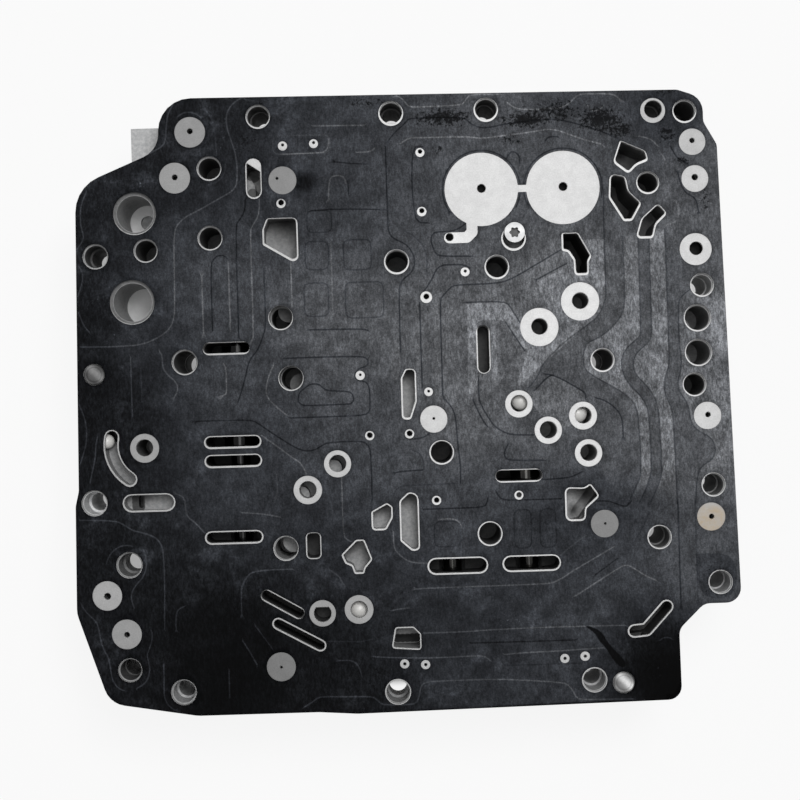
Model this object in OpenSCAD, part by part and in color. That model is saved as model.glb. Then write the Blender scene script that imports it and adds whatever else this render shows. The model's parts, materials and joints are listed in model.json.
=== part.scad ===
// Automatic-transmission valve body, plate side up, resting on its lower casting.
// +X runs right and +Y runs up across the plate, +Z points out of the plate.

/* [Plate] */
// Overall length of the separator plate along X
plate_l = 242; // [236:0.5:250]
// Overall width of the separator plate along Y
plate_w = 226; // [221:0.5:233]
// Thickness of the steel separator plate
plate_t = 1.5; // [1:0.1:2.5]
// Thickness of the bonded rubber coating on the plate
coat_t = 0.3; // [0.2:0.05:0.6]
// Width of bare steel left round every opening
bare_rim = 0.6; // [0.4:0.05:1]

/* [Castings] */
// Height of the lower casting
lower_h = 22; // [21.5:0.5:28]
// Thickness of the steel plate between the castings
middle_t = 1.5; // [1:0.1:2.5]
// Height of the upper casting's core, below its deck
core_h = 16; // [14:0.5:20]
// Thickness of the upper casting's deck
deck_h = 20; // [19.5:0.5:24]
// How far the deck stays inside the plate's edge
deck_inset = 0.5; // [0.3:0.1:1.5]
// How far the casting's passages stand back under the plate's ports
port_ledge = 0.4; // [0.2:0.1:1]
// Diameter of the bosses under the deck at the case bolts
boss_d = 12; // [11:0.5:13]
// Height of the short bosses
boss_h = 3.5; // [3.5:0.5:5]
// Height of the tall bosses, which most case bolts have
tall_boss = 20; // [14:0.5:21]
// Height of the ribs under the deck
rib_h = 3; // [2:0.5:4]
// Width of the ribs under the deck
rib_w = 4; // [3:0.5:5]

/* [Fasteners] */
// Clearance hole for the case bolts
bolt_hole_d = 6.6; // [6.4:0.1:7]
// Depth of the wider relief at the top of each case-bolt hole
bolt_relief = 12; // [1:0.5:12]
// Shank diameter of the bolts that join the castings
body_bolt_d = 6; // [5:0.5:6.5]
// Width across the flats of their heads
body_bolt_af = 10; // [8:0.5:11]
// Height of their heads
body_bolt_head = 6; // [4:0.5:7]
// Outer diameter of the hollow locating dowels
dowel_d = 7.4; // [6.5:0.1:8]
// Height that the dowels stand above the coating
dowel_proud = 0.4; // [0.2:0.1:1.5]
// Head diameter of the plate screw
screw_head_d = 7.3; // [6.5:0.1:8]
// Shank diameter of the plate screw
screw_d = 4; // [3.5:0.1:4.5]

/* [Valves] */
// Diameter of every valve bore
bore_d = 12; // [10:0.5:13]
// Radial running clearance of a spool in its bore
spool_clear = 0.04; // [0.02:0.01:0.08]
// Depth of the upper bores' axes below the top of the deck
bore_drop = 13.5; // [12.5:0.5:14]
// Wall of casting round an upper bore
barrel_wall = 3.5; // [2.5:0.5:4.5]
// Stem diameter of the spools between their lands
stem_d = 7; // [5:0.5:8]
// Diameter of the pins that hold the end plugs
pin_d = 3; // [2:0.5:4]
// Wire of the valve springs
valve_wire = 1.1; // [0.8:0.1:1.5]

/* [Accumulators] */
// Diameter of the accumulator bores
acc_d = 24; // [20:0.5:25]
// Depth of the accumulator bores
acc_depth = 26; // [24:0.5:27]
// Height of an accumulator piston
piston_h = 10; // [8:0.5:12]
// Wire of the accumulator springs
acc_wire = 1.8; // [1.5:0.1:2]

/* [Solenoids] */
// Spacing of the solenoids
solenoid_pitch = 28; // [25:0.5:30]
// Diameter of a solenoid can
can_d = 18; // [15:0.5:18.5]
// Length of a solenoid can
can_l = 38; // [30:0.5:42]
// Diameter of a solenoid's nose
nose_d = 12; // [10:0.5:12.5]
// Length of a solenoid's nose
nose_l = 25; // [20:0.5:28]
// Thickness of the plate that retains the solenoids
retainer_t = 2; // [1.5:0.1:3]

/* [Hidden] */
$fn = 48;

// Levels of the stack, from the bench up
middle_z = lower_h;
core_z = middle_z + middle_t;
deck_z = core_z + core_h;
plate_z = deck_z + deck_h;
coat_z = plate_z + plate_t;
top_z = coat_z + coat_t;

// The layout is drawn for a plate of 242 by 226 and spreads with the plate
spread_x = plate_l / 242;
spread_y = plate_w / 226;
function at(p) = [p.x * spread_x, p.y * spread_y];

// Overlap of cutting tools past the faces they cut
cut = 1;
// Clearance between fixed pieces that fit one inside the other
fit = 0.03;
// Small gap where a moving piece rests against its stop
rest_gap = 0.3;

// Plate outline, clockwise from the neck at the upper left: [x, y, corner radius]
outline = [[-86.3, 94.2, 9], [-86, 113, 12], [103, 110.6, 4], [112.3, 107.4, 7], [112.3, 98.6, 4],
           [117, 90.2, 4], [121, -76.7, 5.5], [107.4, -76.7, 5], [98, -85.8, 5], [98.3, -111.3, 5],
           [-20, -113, 10], [-34, -112, 10], [-78, -112, 10], [-110, -106.6, 9], [-121, -73.5, 10],
           [-120.3, -34.5, 4], [-119, -29, 4], [-117, 81.6, 14]];

// Outline shared by the core, the middle plate and the lower casting
core_outline = [[-106, -34, 6], [-106, 76, 10], [-88, 88, 8], [-80, 98, 6], [98, 98, 8], [106, 80, 8],
                [106, -34, 6]];
core_front = -34;
core_back = 98;

// Bosses that touch the core stop short of its lower face, and webs stop short of the boss
side_boss = core_h - 0.5;
web_h = min(tall_boss - 6, side_boss);

// Case-bolt holes: [x, y, window diameter, height of the boss under the deck]
case_bolts = [[-49.7, 105.3, 8.9, tall_boss], [-1.3, 105, 9.1, tall_boss], [33.3, 105.3, 8.9, tall_boss],
              [94, 103.2, 9.1, side_boss], [-110.3, 56.2, 9.3, side_boss], [110, 39.2, 8.7, side_boss],
              [112, -33.5, 8.8, tall_boss], [113.5, -69, 8.9, tall_boss], [-113.3, -33.5, 9.5, tall_boss],
              [-102.2, -94.6, 8.8, tall_boss], [-82.9, -103.2, 9.4, tall_boss], [66.6, -103.2, 9.3, tall_boss],
              [91.8, -52, 8.9, tall_boss], [-5, -105.4, 9.5, boss_h], [-101.3, -56.4, 9.6, boss_h]];

// Holes for the long case bolts that pass through the whole stack: [x, y, window diameter]
long_bolts = [[-79, 16.8, 9.4], [73, 13, 8.8]];

// Round fluid ports: [x, y, window diameter, depth in the casting, [offset and depth of a shelf in it]]
fluid_ports = [[-68, 87, 9, 30], [105.5, 102.6, 8.7, 30], [91.4, 77, 8.4, 30], [-92, 57.8, 8.8, 30],
               [-68.4, 61.7, 9.1, 30], [-0.8, 51, 9.2, 30], [35.6, 48, 9, 30],
               [-43.6, 31.9, 9, 30, [2.4, 2.6, 9]], [-40.5, 9.8, 9.2, 30, [3, -2.2, 9]],
               [108, 27.3, 10, 30, [-5.2, -3.6, 12]], [108, 14.7, 10, 30, [-5.6, -3, 12]],
               [106.2, 3.1, 8.7, 30], [13.5, -18.8, 9, 30],
               [30.2, -48.9, 9.1, 30], [-44.2, -52, 9.2, 30, [2.4, 1.8, 9]]];
// Casting left below the floor of a port that reaches under the deck
port_floor = 2.5;

// Large ports that end on the middle plate: [x, y, window diameter]
large_ports = [[-95.6, 71.4, 15.6], [-97.4, 39.2, 16.3]];
large_wall = 0.5;
// Drilling in the floor of the first one: [x, y, diameter, depth in the lower casting]
large_drilling = [-95.6, 71.4, 5.4, 1.2];

// Bare discs with an orifice: [x, y, disc diameter, orifice diameter, orifice offset]
orifice_discs = [[-74.6, 100.4, 11.2, 2, [0, 0.4]], [-80.6, 83.9, 11.3, 2, [0, 0.3]],
                 [-41.4, 81.9, 10.2, 0.9, [-2, 0.8]], [108, 91.4, 9.7, 1.8, [0, 0.5]],
                 [108.6, 78, 9.8, 2.2, [0, 0.5]], [108.1, 52.3, 11.7, 4.8, [0.2, 0.3]],
                 [110.6, -8.3, 10, 1.9, [0.2, 0.3]], [110.8, -45.1, 10.3, 1.8, [0.2, 0]],
                 [72, -46.5, 10.1, 0.8, [0.2, 0]], [-109.7, -67.3, 10.8, 2.4, [0, -0.2]],
                 [-103, -81.5, 10.9, 2, [0, -0.2]], [-47.2, -95, 10.6, 0.9, [0, -0.2]],
                 [11, -6.6, 9.9, 0.9, [0, 0.2]]];
orifice_feed_d = 6;
orifice_feed_depth = 9;

// Bare rings round a feed hole: [x, y, ring diameter, hole diameter, depth, [offset, depth of a shelf]]
ring_ports = [[50.4, 25.7, 14, 5.9, 22], [65.5, 34.6, 14, 5.9, 22], [42.1, -2, 10, 6, 9],
              [52.5, -11.9, 10, 6.2, 26], [65.3, -7, 10.2, 6, 9], [66.9, -20.6, 10, 6.1, 30],
              [-94.5, -14, 10.6, 6.1, 26, [3.4, 0.4, 9]], [-35.6, -31, 10.4, 6.2, 16, [-3, -2.2, 9]],
              [-24.5, -21.8, 9.9, 6.2, 20, [-1.9, -1.9, 9]], [-18.3, -75, 10.5, 6.1, 9]];
// Ring with a D-shaped hole: [x, y, ring diameter, hole diameter, height of the flat above the centre]
d_port = [-31.6, -76, 9.7, 6.3, 2.2];
d_port_depth = 13;

// Small pads with an orifice: [x, y, pad diameter, orifice diameter]
orifice_pads = [[-41, 94.4, 3.4, 1], [-29.7, 94.9, 3.3, 1], [-42.2, 73.5, 3.4, 2], [8.9, 90.5, 3.3, 1.5],
                [8.9, 69, 3.5, 1.8], [24, 46.6, 3.3, 1], [9.6, 37.8, 4.3, 2], [-15.3, 10.1, 3.4, 0.9],
                [9.4, 3.4, 3.2, 0.9], [-12.5, -11.9, 3.4, 2], [2, -11.7, 3.4, 2], [41.1, -35.2, 3.3, 1.9],
                [11.1, -36.2, 3.4, 1.9], [-2.3, -95.3, 3.4, 1.1], [5.3, -95.8, 3.4, 1.1],
                [56, -95.1, 3.4, 1.1], [63.4, -94.5, 3.5, 1.1]];

// Accumulators under the two large bare discs: [x, y]
accumulators = [[30.8, 76.4], [60.5, 76.2]];
acc_window_d = 26.8;
acc_orifice_d = 3.1;
// Bare bridge between the discs and bare tail to a feed orifice
bridge_w = 2.6;
tail_w = 4;
tail_path = [[27, 66], [27, 61], [25, 59.1], [18.7, 59.1]];
tail_orifice_d = 2.8;

// Plate screw and the relief hole beside it
screw_at = [42.3, 60.2];
screw_relief_at = [42, 58.2];
screw_relief_d = 7.8;
screw_head_h = 3;
screw_l = 12;

// Hollow dowels: [x, y]
dowels = [[-112, 13.3], [77.2, -104.5]];
dowel_wall = 0.9;
dowel_depth = 9;
dowel_floor = 2;

// Straight slots, windows: [x, y, length, width, angle, depth in the casting]
slots = [[-51.9, 82.8, 14.8, 5.8, 90, 6], [29.8, 18.2, 17.7, 5, 90, 12], [-63.7, 21.4, 17.2, 4.7, 0, 30],
         [-62.4, -12.7, 21, 4.8, 0, 30], [-62.4, -19.6, 21.1, 4.9, 0, 30], [-62.9, -47.4, 21.4, 5, 0, 17],
         [-93.5, -33.9, 19.3, 6.7, 0, 8], [41.3, -28.1, 17.2, 4.8, 0, 30], [18.1, -60.2, 22.2, 6.3, 0, 17],
         [45, -60.1, 21.4, 6.1, 0, 17], [-46, -72.3, 17.6, 4.5, -30.3, 16],
         [-40.3, -83.5, 21.7, 4.5, -29, 16]];

// Bent slot by the front right corner: its middle line, window width and depth
bent_slot = [[81.6, -85.9], [86, -85.5], [93.6, -77.3]];
bent_slot_w = 5;
bent_slot_depth = 16;

// Curved slot at the left: centre of its arc, radius, window width, first and last angle, depth
curved_slot = [-92, -13];
curved_slot_r = 14.7;
curved_slot_w = 5.6;
curved_slot_from = 167;
curved_slot_to = 236;
curved_slot_depth = 8;

// Cast ports, window corners: [depth in the casting, [[x, y, corner radius], ...]]
cast_ports = [
    [12, [[-47.6, 68.3, 1.5], [-36.4, 68.3, 2], [-36.4, 50.8, 2], [-49.3, 58.6, 1], [-49.3, 64, 1]]],
    [30, [[59.4, 59.7, 1], [65.5, 59.7, 1.5], [70.2, 51, 1.2], [69, 48.8, 1], [69, 44, 1.3],
          [63.8, 44, 1.3], [63.6, 49.5, 1.5], [61.6, 52.6, 1.2], [59.4, 53.2, 0.8]]],
    [24, [[81.8, 92.8, 0.8], [91, 88.6, 2], [91.9, 85, 1.2], [87.5, 83.4, 3], [84.5, 80.3, 1.5],
          [78.9, 84.7, 2]]],
    [30, [[77.6, 80.8, 2], [83.4, 79.6, 2], [84.4, 74.2, 3], [89, 69.6, 1.5], [85.3, 63.2, 1.5],
          [82.2, 63.2, 1], [77, 71.8, 2]]],
    [24, [[94.9, 69.5, 1.5], [98.3, 65.6, 1.5], [94, 61.6, 3], [92.8, 56.7, 1.5], [86.3, 56.7, 1.5],
         [88.6, 64, 4]]],
    [9, [[-12.8, -39.6, 1], [-7, -36.5, 1.2], [-5, -38, 1], [-5, -42, 2], [-7.6, -46.5, 1.5],
         [-12.8, -46.5, 1.5]]],
    [10, [[-24.2, -55, 1], [-18.6, -49.6, 1.5], [-15.6, -49.6, 1], [-12.8, -57, 1.5], [-15.6, -60.2, 1.5],
          [-16, -62.1, 0.8], [-19.5, -62.1, 0.8], [-20.4, -59.3, 1], [-22.8, -58.2, 0.8]]],
    [8, [[57.8, -32.8, 2], [65, -33.2, 3], [67.2, -31.6, 1], [70.6, -36.4, 1.5], [65.5, -40.8, 1.5],
          [65.1, -45.3, 1.8], [57.8, -45.3, 2.2]]],
    [12, [[-5.4, -81.8, 1.2], [1.4, -81.8, 1.2], [4, -84.5, 1.2], [4, -90.5, 1.2], [-6.9, -89.6, 1.2]]],
    [9, [[-0.6, 8.6, 1.5], [1.2, 12, 1.2], [5, 12, 1.8], [5, 0, 2], [2.7, -6.5, 1.2], [-0.6, -6.5, 1.5]]],
    [9, [[-2.5, -36, 2], [0.8, -33, 1.5], [4.6, -33, 2.8], [4.6, -54.3, 1.8], [1.6, -54.3, 1.5],
         [-2.5, -50.6, 1]]],
    [12, [[-36.9, -46.5, 1.8], [-31.3, -46.5, 1.8], [-31.3, -56.2, 1.8], [-36.9, -56.2, 1.8]]]];

// Deeper parts of ports with a stepped floor: [width, depth, middle line]
deep_parts = [[3.6, 18, [[-5, -88.2], [2.4, -88.4]]], [1.8, 14, [[-97.6, -32.5], [-97.6, -35.3]]],
              [6, 16, [[-105.4, -7.8], [-105.2, -8.8]]],
              [4.2, 16, [[68.6, -35.2], [63.8, -41.2], [62.6, -43]]],
              [3, 16, [[-53.4, 86.2], [-50.8, 82], [-50.4, 77.6]]], [2.6, 20, [[40.4, -2.8], [41.4, -4]]],
              [2.4, 20, [[67.3, -6.6], [66.6, -8.8]]]];

// Passages cast into the deck: [width, depth, middle line]
passages = [
    [6, 10, [[-52, 84], [-52.5, 74], [-56.3, 66], [-56.3, 26], [-60, 21.4]]],
    [9, 9, [[-43, 60], [-43.6, 32]]],
    [6, 8, [[-42, 94.6], [-28.5, 94.6]]],
    [6, 8, [[-42, 82], [-42, 72.5]]],
    [6, 8, [[9, 91], [9, 68.5]]],
    [6, 8, [[24, 46.3], [15, 46], [11, 38], [11, 4]]],
    [4, 8, [[89.3, 58], [89.2, 24], [82.4, 16], [82.2, 10], [88, 1], [91, -8], [91.4, -26], [87.5, -37]]],
    [4, 8, [[99, 56], [99, 14], [97.6, 2], [100.5, -8], [101, -30]]],
    [5, 8, [[78, 56], [78, 32], [71, 24], [61, 20.5], [50, 10]]],
    [5, 8, [[29.8, 24], [29.8, 2], [33.5, -8], [41, -13.5], [52.5, -12]]],
    [9, 9, [[-40.5, 9.8], [-15.5, 10.1]]],
    [4.5, 8, [[-12.5, -11.9], [2, -11.7]]],
    [6, 8, [[-54, -12.7], [-38, -22.5], [-35.6, -31]]],
    [9, 9, [[-24.5, -21.8], [-18, -24.5], [-18, -54]]],
    [8, 9, [[-1, -86], [30, -88], [82, -86]]],
    [5, 8, [[-20, -95.5], [26, -95.5]]],
    [5, 8, [[36, -95], [65, -94.7]]],
    [6, 9, [[-44.2, -52], [-34, -51.3]]],
    [5, 8, [[9, -36.2], [27, -36.2]]]];

// Check balls: [x, y, ball diameter, pocket diameter, pocket depth]
balls = [[63.9, -6.1, 7.1, 8.6, 9], [43.2, -0.8, 7.1, 8.6, 9], [-18.3, -75.5, 7.1, 8.6, 9],
         [-108.9, -11.2, 5.5, 7, 6.5]];

// Lug of the upper casting beside the neck of the plate: [left, back, right, front], level and height
lug = [-98.6, 105, -82, 86];
lug_top = deck_z + 2.5;
lug_h = 10;

// Bolts that join the castings: [x, y]
body_bolts_at = [[-97, -22], [-98, 20], [-76, 80], [0, 86], [76, 86], [97, 50], [97, -22], [0, 20]];
counterbore_d = 14;
counterbore = body_bolt_head + 2;
body_thread = 8;

// Valves: [x, level of the axis, mouth, direction into the bore, plug length, spring length, spool steps]
// A spool's steps run from its spring end: [length, diameter]
land_d = bore_d - 2 * spool_clear;
stop_d = 5;
upper_axis = plate_z - bore_drop;
lower_axis = lower_h / 2 + 0.5;
front_mouth = -110.5;
back_mouth = core_back - 1.5;
valves = [
    [-60.8, upper_axis, front_mouth, 1, 24, 24, [[10, land_d], [9, stem_d], [15, land_d], [14, stem_d],
     [9, land_d], [18, stem_d], [10, land_d], [3, stop_d]]],
    [16.5, upper_axis, front_mouth, 1, 14, 20, [[10, land_d], [12, stem_d], [19, land_d], [3, stop_d]]],
    [45, upper_axis, front_mouth, 1, 14, 24, [[8, land_d], [11, stem_d], [12, land_d], [10, stem_d],
     [12, land_d], [3, stop_d]]],
    [-40, lower_axis, back_mouth, -1, 14, 20, [[10, land_d], [10, stem_d], [8, land_d], [5, stem_d],
     [8, land_d], [3, stop_d]]],
    [40, lower_axis, back_mouth, -1, 14, 20, [[10, land_d], [10, stem_d], [8, land_d], [5, stem_d],
     [8, land_d], [3, stop_d]]]];
pin_from_mouth = 6.5;
pin_reach = bore_d / 2 + 1.2;
spring_turns = 6;

// Accumulator piston
piston_d = acc_d - 2 * spool_clear;
piston_crown = 5.5;
piston_wall = 2.5;
dish_d = 8;
dish_depth = 3.5;
acc_turns = 4;
seal_w = 2.4;
seal_depth = 1.5;
acc_floor = plate_z - acc_depth;

// Solenoids
solenoid_n = 5;
flange_d = can_d + 4;
flange_t = 2;
ring_d = 1.6;
ring_groove_w = 2.2;
ring_groove = 1.7;
ring_at = [7, 15];
nose_bore_d = nose_d + 0.2;
cap_l = 10;
cap_w = 13;
cap_h = 8;
cap_neck_d = can_d - 7;
cap_neck = 3;
blade_out = 7;
blade_in = 3;
blade_w = 2.8;
blade_t = 0.8;
retainer_h = 21;
retainer_bolt_d = 5;
retainer_bolt_l = 16;
retainer_bolt_rise = 6;
function solenoid_x(i) = (i - (solenoid_n - 1) / 2) * solenoid_pitch;

// Ribs under the deck: [first end, last end]
ribs = [[[-112, -58], [110, -58]], [[-100, -88], [92, -88]], [[-82.9, -103.2], [-84, -30]],
        [[-5, -105.4], [-5, -30]], [[66.6, -103.2], [78, -30]], [[-102.2, -94.6], [-102, -30]],
        [[113.5, -69], [100, -30]]];
// Webs that join the bosses beside the core to it: [first end, last end]
webs = [[[-49.7, 105.3], [-49.7, 94]], [[-1.3, 105], [-1.3, 94]], [[33.3, 105.3], [33.3, 94]],
        [[94, 103.2], [92, 94]], [[-110.3, 56.2], [-100, 56.2]], [[110, 39.2], [100, 39.2]],
        [[-113.3, -33.5], [-100, -28]], [[112, -33.5], [100, -28]]];

// Underside pockets of the lower casting: [x, y, length, width]
pockets = [[-17, 39, 22, 20], [-17, 64, 22, 22], [17, 39, 22, 20], [17, 64, 22, 22],
           [-79, 33, 15, 20], [-79, 56, 15, 18], [-60, 33, 15, 20], [-60, 56, 15, 18],
           [61, 16, 15, 18], [84.5, 16, 12, 18], [61, 39, 15, 18], [80, 39, 15, 18],
           [61, 62, 15, 20], [80, 62, 15, 20], [-19, 9, 16, 12], [-60, 11, 15, 14]];
pocket_depth = 13;
// Cross passages in the top of the lower casting: [width, depth, middle line]
lower_passages = [[5, 5, [[-62, -20], [62, -20]]], [5, 5, [[-62, -8], [-20, -8]]],
                  [5, 5, [[-8, -8], [62, -8]]], [6, 6, [[-84, 70], [-24, 70]]],
                  [6, 6, [[24, 70], [60, 70], [86, 40]]], [6, 6, [[-52, 44], [-24, 44], [-10, 8]]],
                  [6, 6, [[24, 44], [56, 44]]], [6, 6, [[-90, 6], [-30, 6]]], [6, 6, [[30, 6], [90, 6]]]];

// Shapes

function flat(p) = [p.x, p.y];
function unit(v) = v / norm(v);
function turned(p, d) = [p.x * cos(d) - p.y * sin(d), p.x * sin(d) + p.y * cos(d)];
function spread(p) = [for (c = p) [at(c).x, at(c).y, c[2]]];
function wrap(a) = a > 180 ? a - 360 : a < -180 ? a + 360 : a;

// Points of one corner at b, rounded to radius r
function corner(a, b, c, r, step) =
    let (u = unit(flat(a) - flat(b)), v = unit(flat(c) - flat(b)), half = acos(u * v) / 2)
    let (middle = flat(b) + unit(u + v) * r / sin(half), from = flat(b) + u * r / tan(half) - middle)
    let (to = flat(b) + v * r / tan(half) - middle, start = atan2(from.y, from.x))
    let (sweep = wrap(atan2(to.y, to.x) - start), n = max(1, ceil(abs(sweep) / step)))
    r <= 0 ? [flat(b)] : [for (i = [0:n]) middle + turned([r, 0], start + sweep * i / n)];

// A list of corners [x, y, r] as the points of a rounded outline
function rounded(p, step = 30) =
    let (n = len(p))
    [for (i = [0:n - 1]) each corner(p[(i + n - 1) % n], p[i], p[(i + 1) % n], p[i][2], step)];

// The same corners moved d inside a clockwise outline, or outside it where d is negative
function inset(p, d) =
    let (n = len(p))
    [for (i = [0:n - 1])
        let (u = unit(flat(p[i]) - flat(p[(i + n - 1) % n])), v = unit(flat(p[(i + 1) % n]) - flat(p[i])))
        let (m = turned(u, -90), k = turned(v, -90), q = flat(p[i]) + d * (m + k) / (1 + m * k))
        [q.x, q.y, max(0.3, p[i][2] + (cross(u, v) < 0 ? -d : d))]];

// Stadium of overall length l and width w
function stadium(l, w) =
    [for (s = [1, -1], a = [-90:22.5:90]) s * [l / 2 - w / 2 + w / 2 * cos(a), w / 2 * sin(a)]];

module slot_shape(x, y, l, w, angle) {
    translate(at([x, y])) rotate(angle) polygon(stadium(l, w));
}

// Stadiums along a middle line
module path_shape(points, w) {
    for (i = [0:len(points) - 2]) {
        a = at(points[i]);
        b = at(points[i + 1]);
        span = b - a;
        translate((a + b) / 2)
            rotate(atan2(span.y, span.x))
                polygon(stadium(norm(span) + w, w));
    }
}

module curved_shape(grow) {
    r = curved_slot_r;
    h = curved_slot_w / 2 + grow;
    step = (curved_slot_to - curved_slot_from) / 8;
    first = [for (a = [curved_slot_from:step:curved_slot_to + 0.1]) turned([r + h, 0], a)];
    far_end = [for (a = [30:30:150]) turned([r, 0], curved_slot_to) + turned([h, 0], curved_slot_to + a)];
    back = [for (a = [curved_slot_to:-step:curved_slot_from - 0.1]) turned([r - h, 0], a)];
    near_end = [for (a = [210:30:330])
        turned([r, 0], curved_slot_from) + turned([h, 0], curved_slot_from + a)];
    translate(at(curved_slot)) polygon(concat(first, far_end, back, near_end));
}

module d_shape(grow) {
    translate(at(d_port))
        intersection() {
            circle(d = d_port[3] + 2 * grow);
            translate([-d_port[3], -d_port[3] - d_port[3]])
                square([2 * d_port[3], 2 * d_port[3] + d_port[4] + grow]);
        }
}

module cast_port_shape(port, grow) {
    polygon(rounded(inset(spread(port[1]), -grow)));
}

// Every opening that is not a plain round hole, with its window grown by grow
module shaped_windows(grow) {
    for (s = slots) slot_shape(s[0], s[1], s[2] + 2 * grow, s[3] + 2 * grow, s[4]);
    for (p = cast_ports) cast_port_shape(p, grow);
    path_shape(bent_slot, bent_slot_w + 2 * grow);
    curved_shape(grow);
}

module circles(list, grow = 0) {
    for (c = list) translate(at(c)) circle(d = c[2] + 2 * grow);
}

// Vertical hole from the top of the deck down
module deck_hole(p, d, depth) {
    translate([at(p).x, at(p).y, plate_z - depth]) cylinder(d = d, h = depth + cut);
}

// Hole of a fluid port, with a shelf [x, y, depth] left standing in it where one is given
module port_hole(p, d, depth, shelf) {
    difference() {
        deck_hole(p, d, depth);
        if (!is_undef(shelf))
            translate([at(p).x + shelf.x, at(p).y + shelf.y, plate_z - depth - cut])
                cylinder(d = d, h = depth - shelf.z + cut);
    }
}

module outline_shape(d) {
    polygon(rounded(inset(spread(outline), d), 15));
}

module core_shape() {
    polygon(rounded(spread(core_outline)));
}

// Separator plate and its coating

module plate_openings() {
    circles(case_bolts, -bare_rim);
    circles(long_bolts, -bare_rim);
    circles(fluid_ports, -bare_rim);
    circles(large_ports, -bare_rim);
    for (c = orifice_discs) translate(at(c) + c[4]) circle(d = c[3], $fn = 24);
    for (c = ring_ports) translate(at(c)) circle(d = c[3]);
    for (c = orifice_pads) translate(at(c)) circle(d = c[3], $fn = 24);
    for (c = accumulators) translate(at(c)) circle(d = acc_orifice_d);
    for (c = dowels) translate(at(c)) circle(d = dowel_d + 2 * fit);
    translate(at(tail_path[3])) circle(d = tail_orifice_d);
    translate(at(screw_relief_at)) circle(d = screw_relief_d);
    translate(at(screw_at)) circle(d = screw_d + 1);
    d_shape(0);
    shaped_windows(-bare_rim);
}

module separator_plate() {
    color("silver")
        translate([0, 0, plate_z])
            linear_extrude(plate_t)
                difference() {
                    outline_shape(0);
                    plate_openings();
                }
}

module accumulator_windows() {
    left = at(accumulators[0]);
    right = at(accumulators[1]);
    for (c = [left, right]) translate(c) circle(d = acc_window_d);
    translate([(left.x + right.x) / 2, (left.y + right.y) / 2])
        square([right.x - left.x - acc_window_d / 2, bridge_w], center = true);
    path_shape(tail_path, tail_w);
}

module coat_windows() {
    circles(case_bolts);
    circles(long_bolts);
    circles(fluid_ports);
    circles(large_ports);
    circles(orifice_discs);
    circles(ring_ports);
    circles([d_port]);
    circles(orifice_pads);
    for (c = dowels) translate(at(c)) circle(d = dowel_d + bare_rim);
    accumulator_windows();
    translate(at(screw_relief_at)) circle(d = screw_relief_d + 2 * bare_rim);
    translate(at(screw_at)) circle(d = screw_head_d + bare_rim / 2);
    shaped_windows(0);
}

module bonded_gasket() {
    color([0.16, 0.165, 0.18])
        translate([0, 0, coat_z])
            linear_extrude(coat_t)
                difference() {
                    outline_shape(0.1);
                    coat_windows();
                }
}

module plate_screw() {
    socket = [for (a = [0:10:350]) turned([screw_head_d * (0.24 + 0.035 * cos(6 * a)), 0], a)];
    color("gainsboro")
        translate([at(screw_at).x, at(screw_at).y, 0])
            difference() {
                union() {
                    translate([0, 0, coat_z]) cylinder(d = screw_head_d, h = screw_head_h);
                    translate([0, 0, coat_z - screw_l]) cylinder(d = screw_d, h = screw_l + cut);
                }
                translate([0, 0, coat_z + screw_head_h * 0.35]) linear_extrude(screw_head_h) polygon(socket);
            }
}

module locating_dowels() {
    color("lightgrey")
        for (c = dowels)
            translate([at(c).x, at(c).y, plate_z - dowel_depth])
                difference() {
                    cylinder(d = dowel_d, h = dowel_depth + plate_t + coat_t + dowel_proud);
                    translate([0, 0, dowel_floor])
                        cylinder(d = dowel_d - 2 * dowel_wall, h = dowel_depth + plate_t + cut);
                }
}

module check_balls() {
    color("whitesmoke")
        for (b = balls)
            translate([at(b).x, at(b).y, plate_z - b[4] + b[2] / 2 + fit]) sphere(d = b[2]);
}

// Upper casting

module deck_passages() {
    for (p = concat(passages, deep_parts))
        translate([0, 0, plate_z - p[1]]) linear_extrude(p[1] + cut) path_shape(p[2], p[0]);
    for (s = slots)
        translate([0, 0, plate_z - s[5]])
            linear_extrude(s[5] + cut)
                slot_shape(s[0], s[1], s[2] - 2 * port_ledge, s[3] - 2 * port_ledge, s[4]);
    for (p = cast_ports)
        translate([0, 0, plate_z - p[0]]) linear_extrude(p[0] + cut) cast_port_shape(p, -port_ledge);
    translate([0, 0, plate_z - bent_slot_depth])
        linear_extrude(bent_slot_depth + cut)
            path_shape(bent_slot, bent_slot_w - 2 * port_ledge);
    translate([0, 0, plate_z - curved_slot_depth])
        linear_extrude(curved_slot_depth + cut)
            curved_shape(-port_ledge);
}

module deck_holes() {
    for (c = case_bolts) {
        deck_hole(c, bolt_hole_d, deck_h + max(c[3], rib_h) + cut);
        deck_hole(c, c[2] - 2 * bare_rim, bolt_relief);
    }
    for (c = long_bolts) deck_hole(c, c[2] - 2 * bare_rim, deck_h + core_h + cut);
    for (c = fluid_ports) port_hole(c, c[2] - 2 * bare_rim, c[3], c[4]);
    for (c = large_ports) deck_hole(c, c[2] - 2 * bare_rim - 2 * large_wall, deck_h + core_h + cut);
    for (c = orifice_discs) deck_hole(c + [c[4].x, c[4].y, 0, 0, 0], orifice_feed_d, orifice_feed_depth);
    for (c = ring_ports) port_hole(c, c[3], c[4], c[5]);
    for (b = balls) deck_hole(b, b[3], b[4]);
    for (c = accumulators) deck_hole(c, acc_d, acc_depth);
    for (c = dowels) deck_hole(c, dowel_d + 2 * fit, dowel_depth);
    deck_hole(d_port, d_port[3], d_port_depth);
    deck_hole(tail_path[3], orifice_feed_d, orifice_feed_depth);
    deck_hole(screw_at, screw_d + 2 * fit, screw_l);
    deck_hole(screw_relief_at, screw_relief_d, bolt_relief);
}

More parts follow.
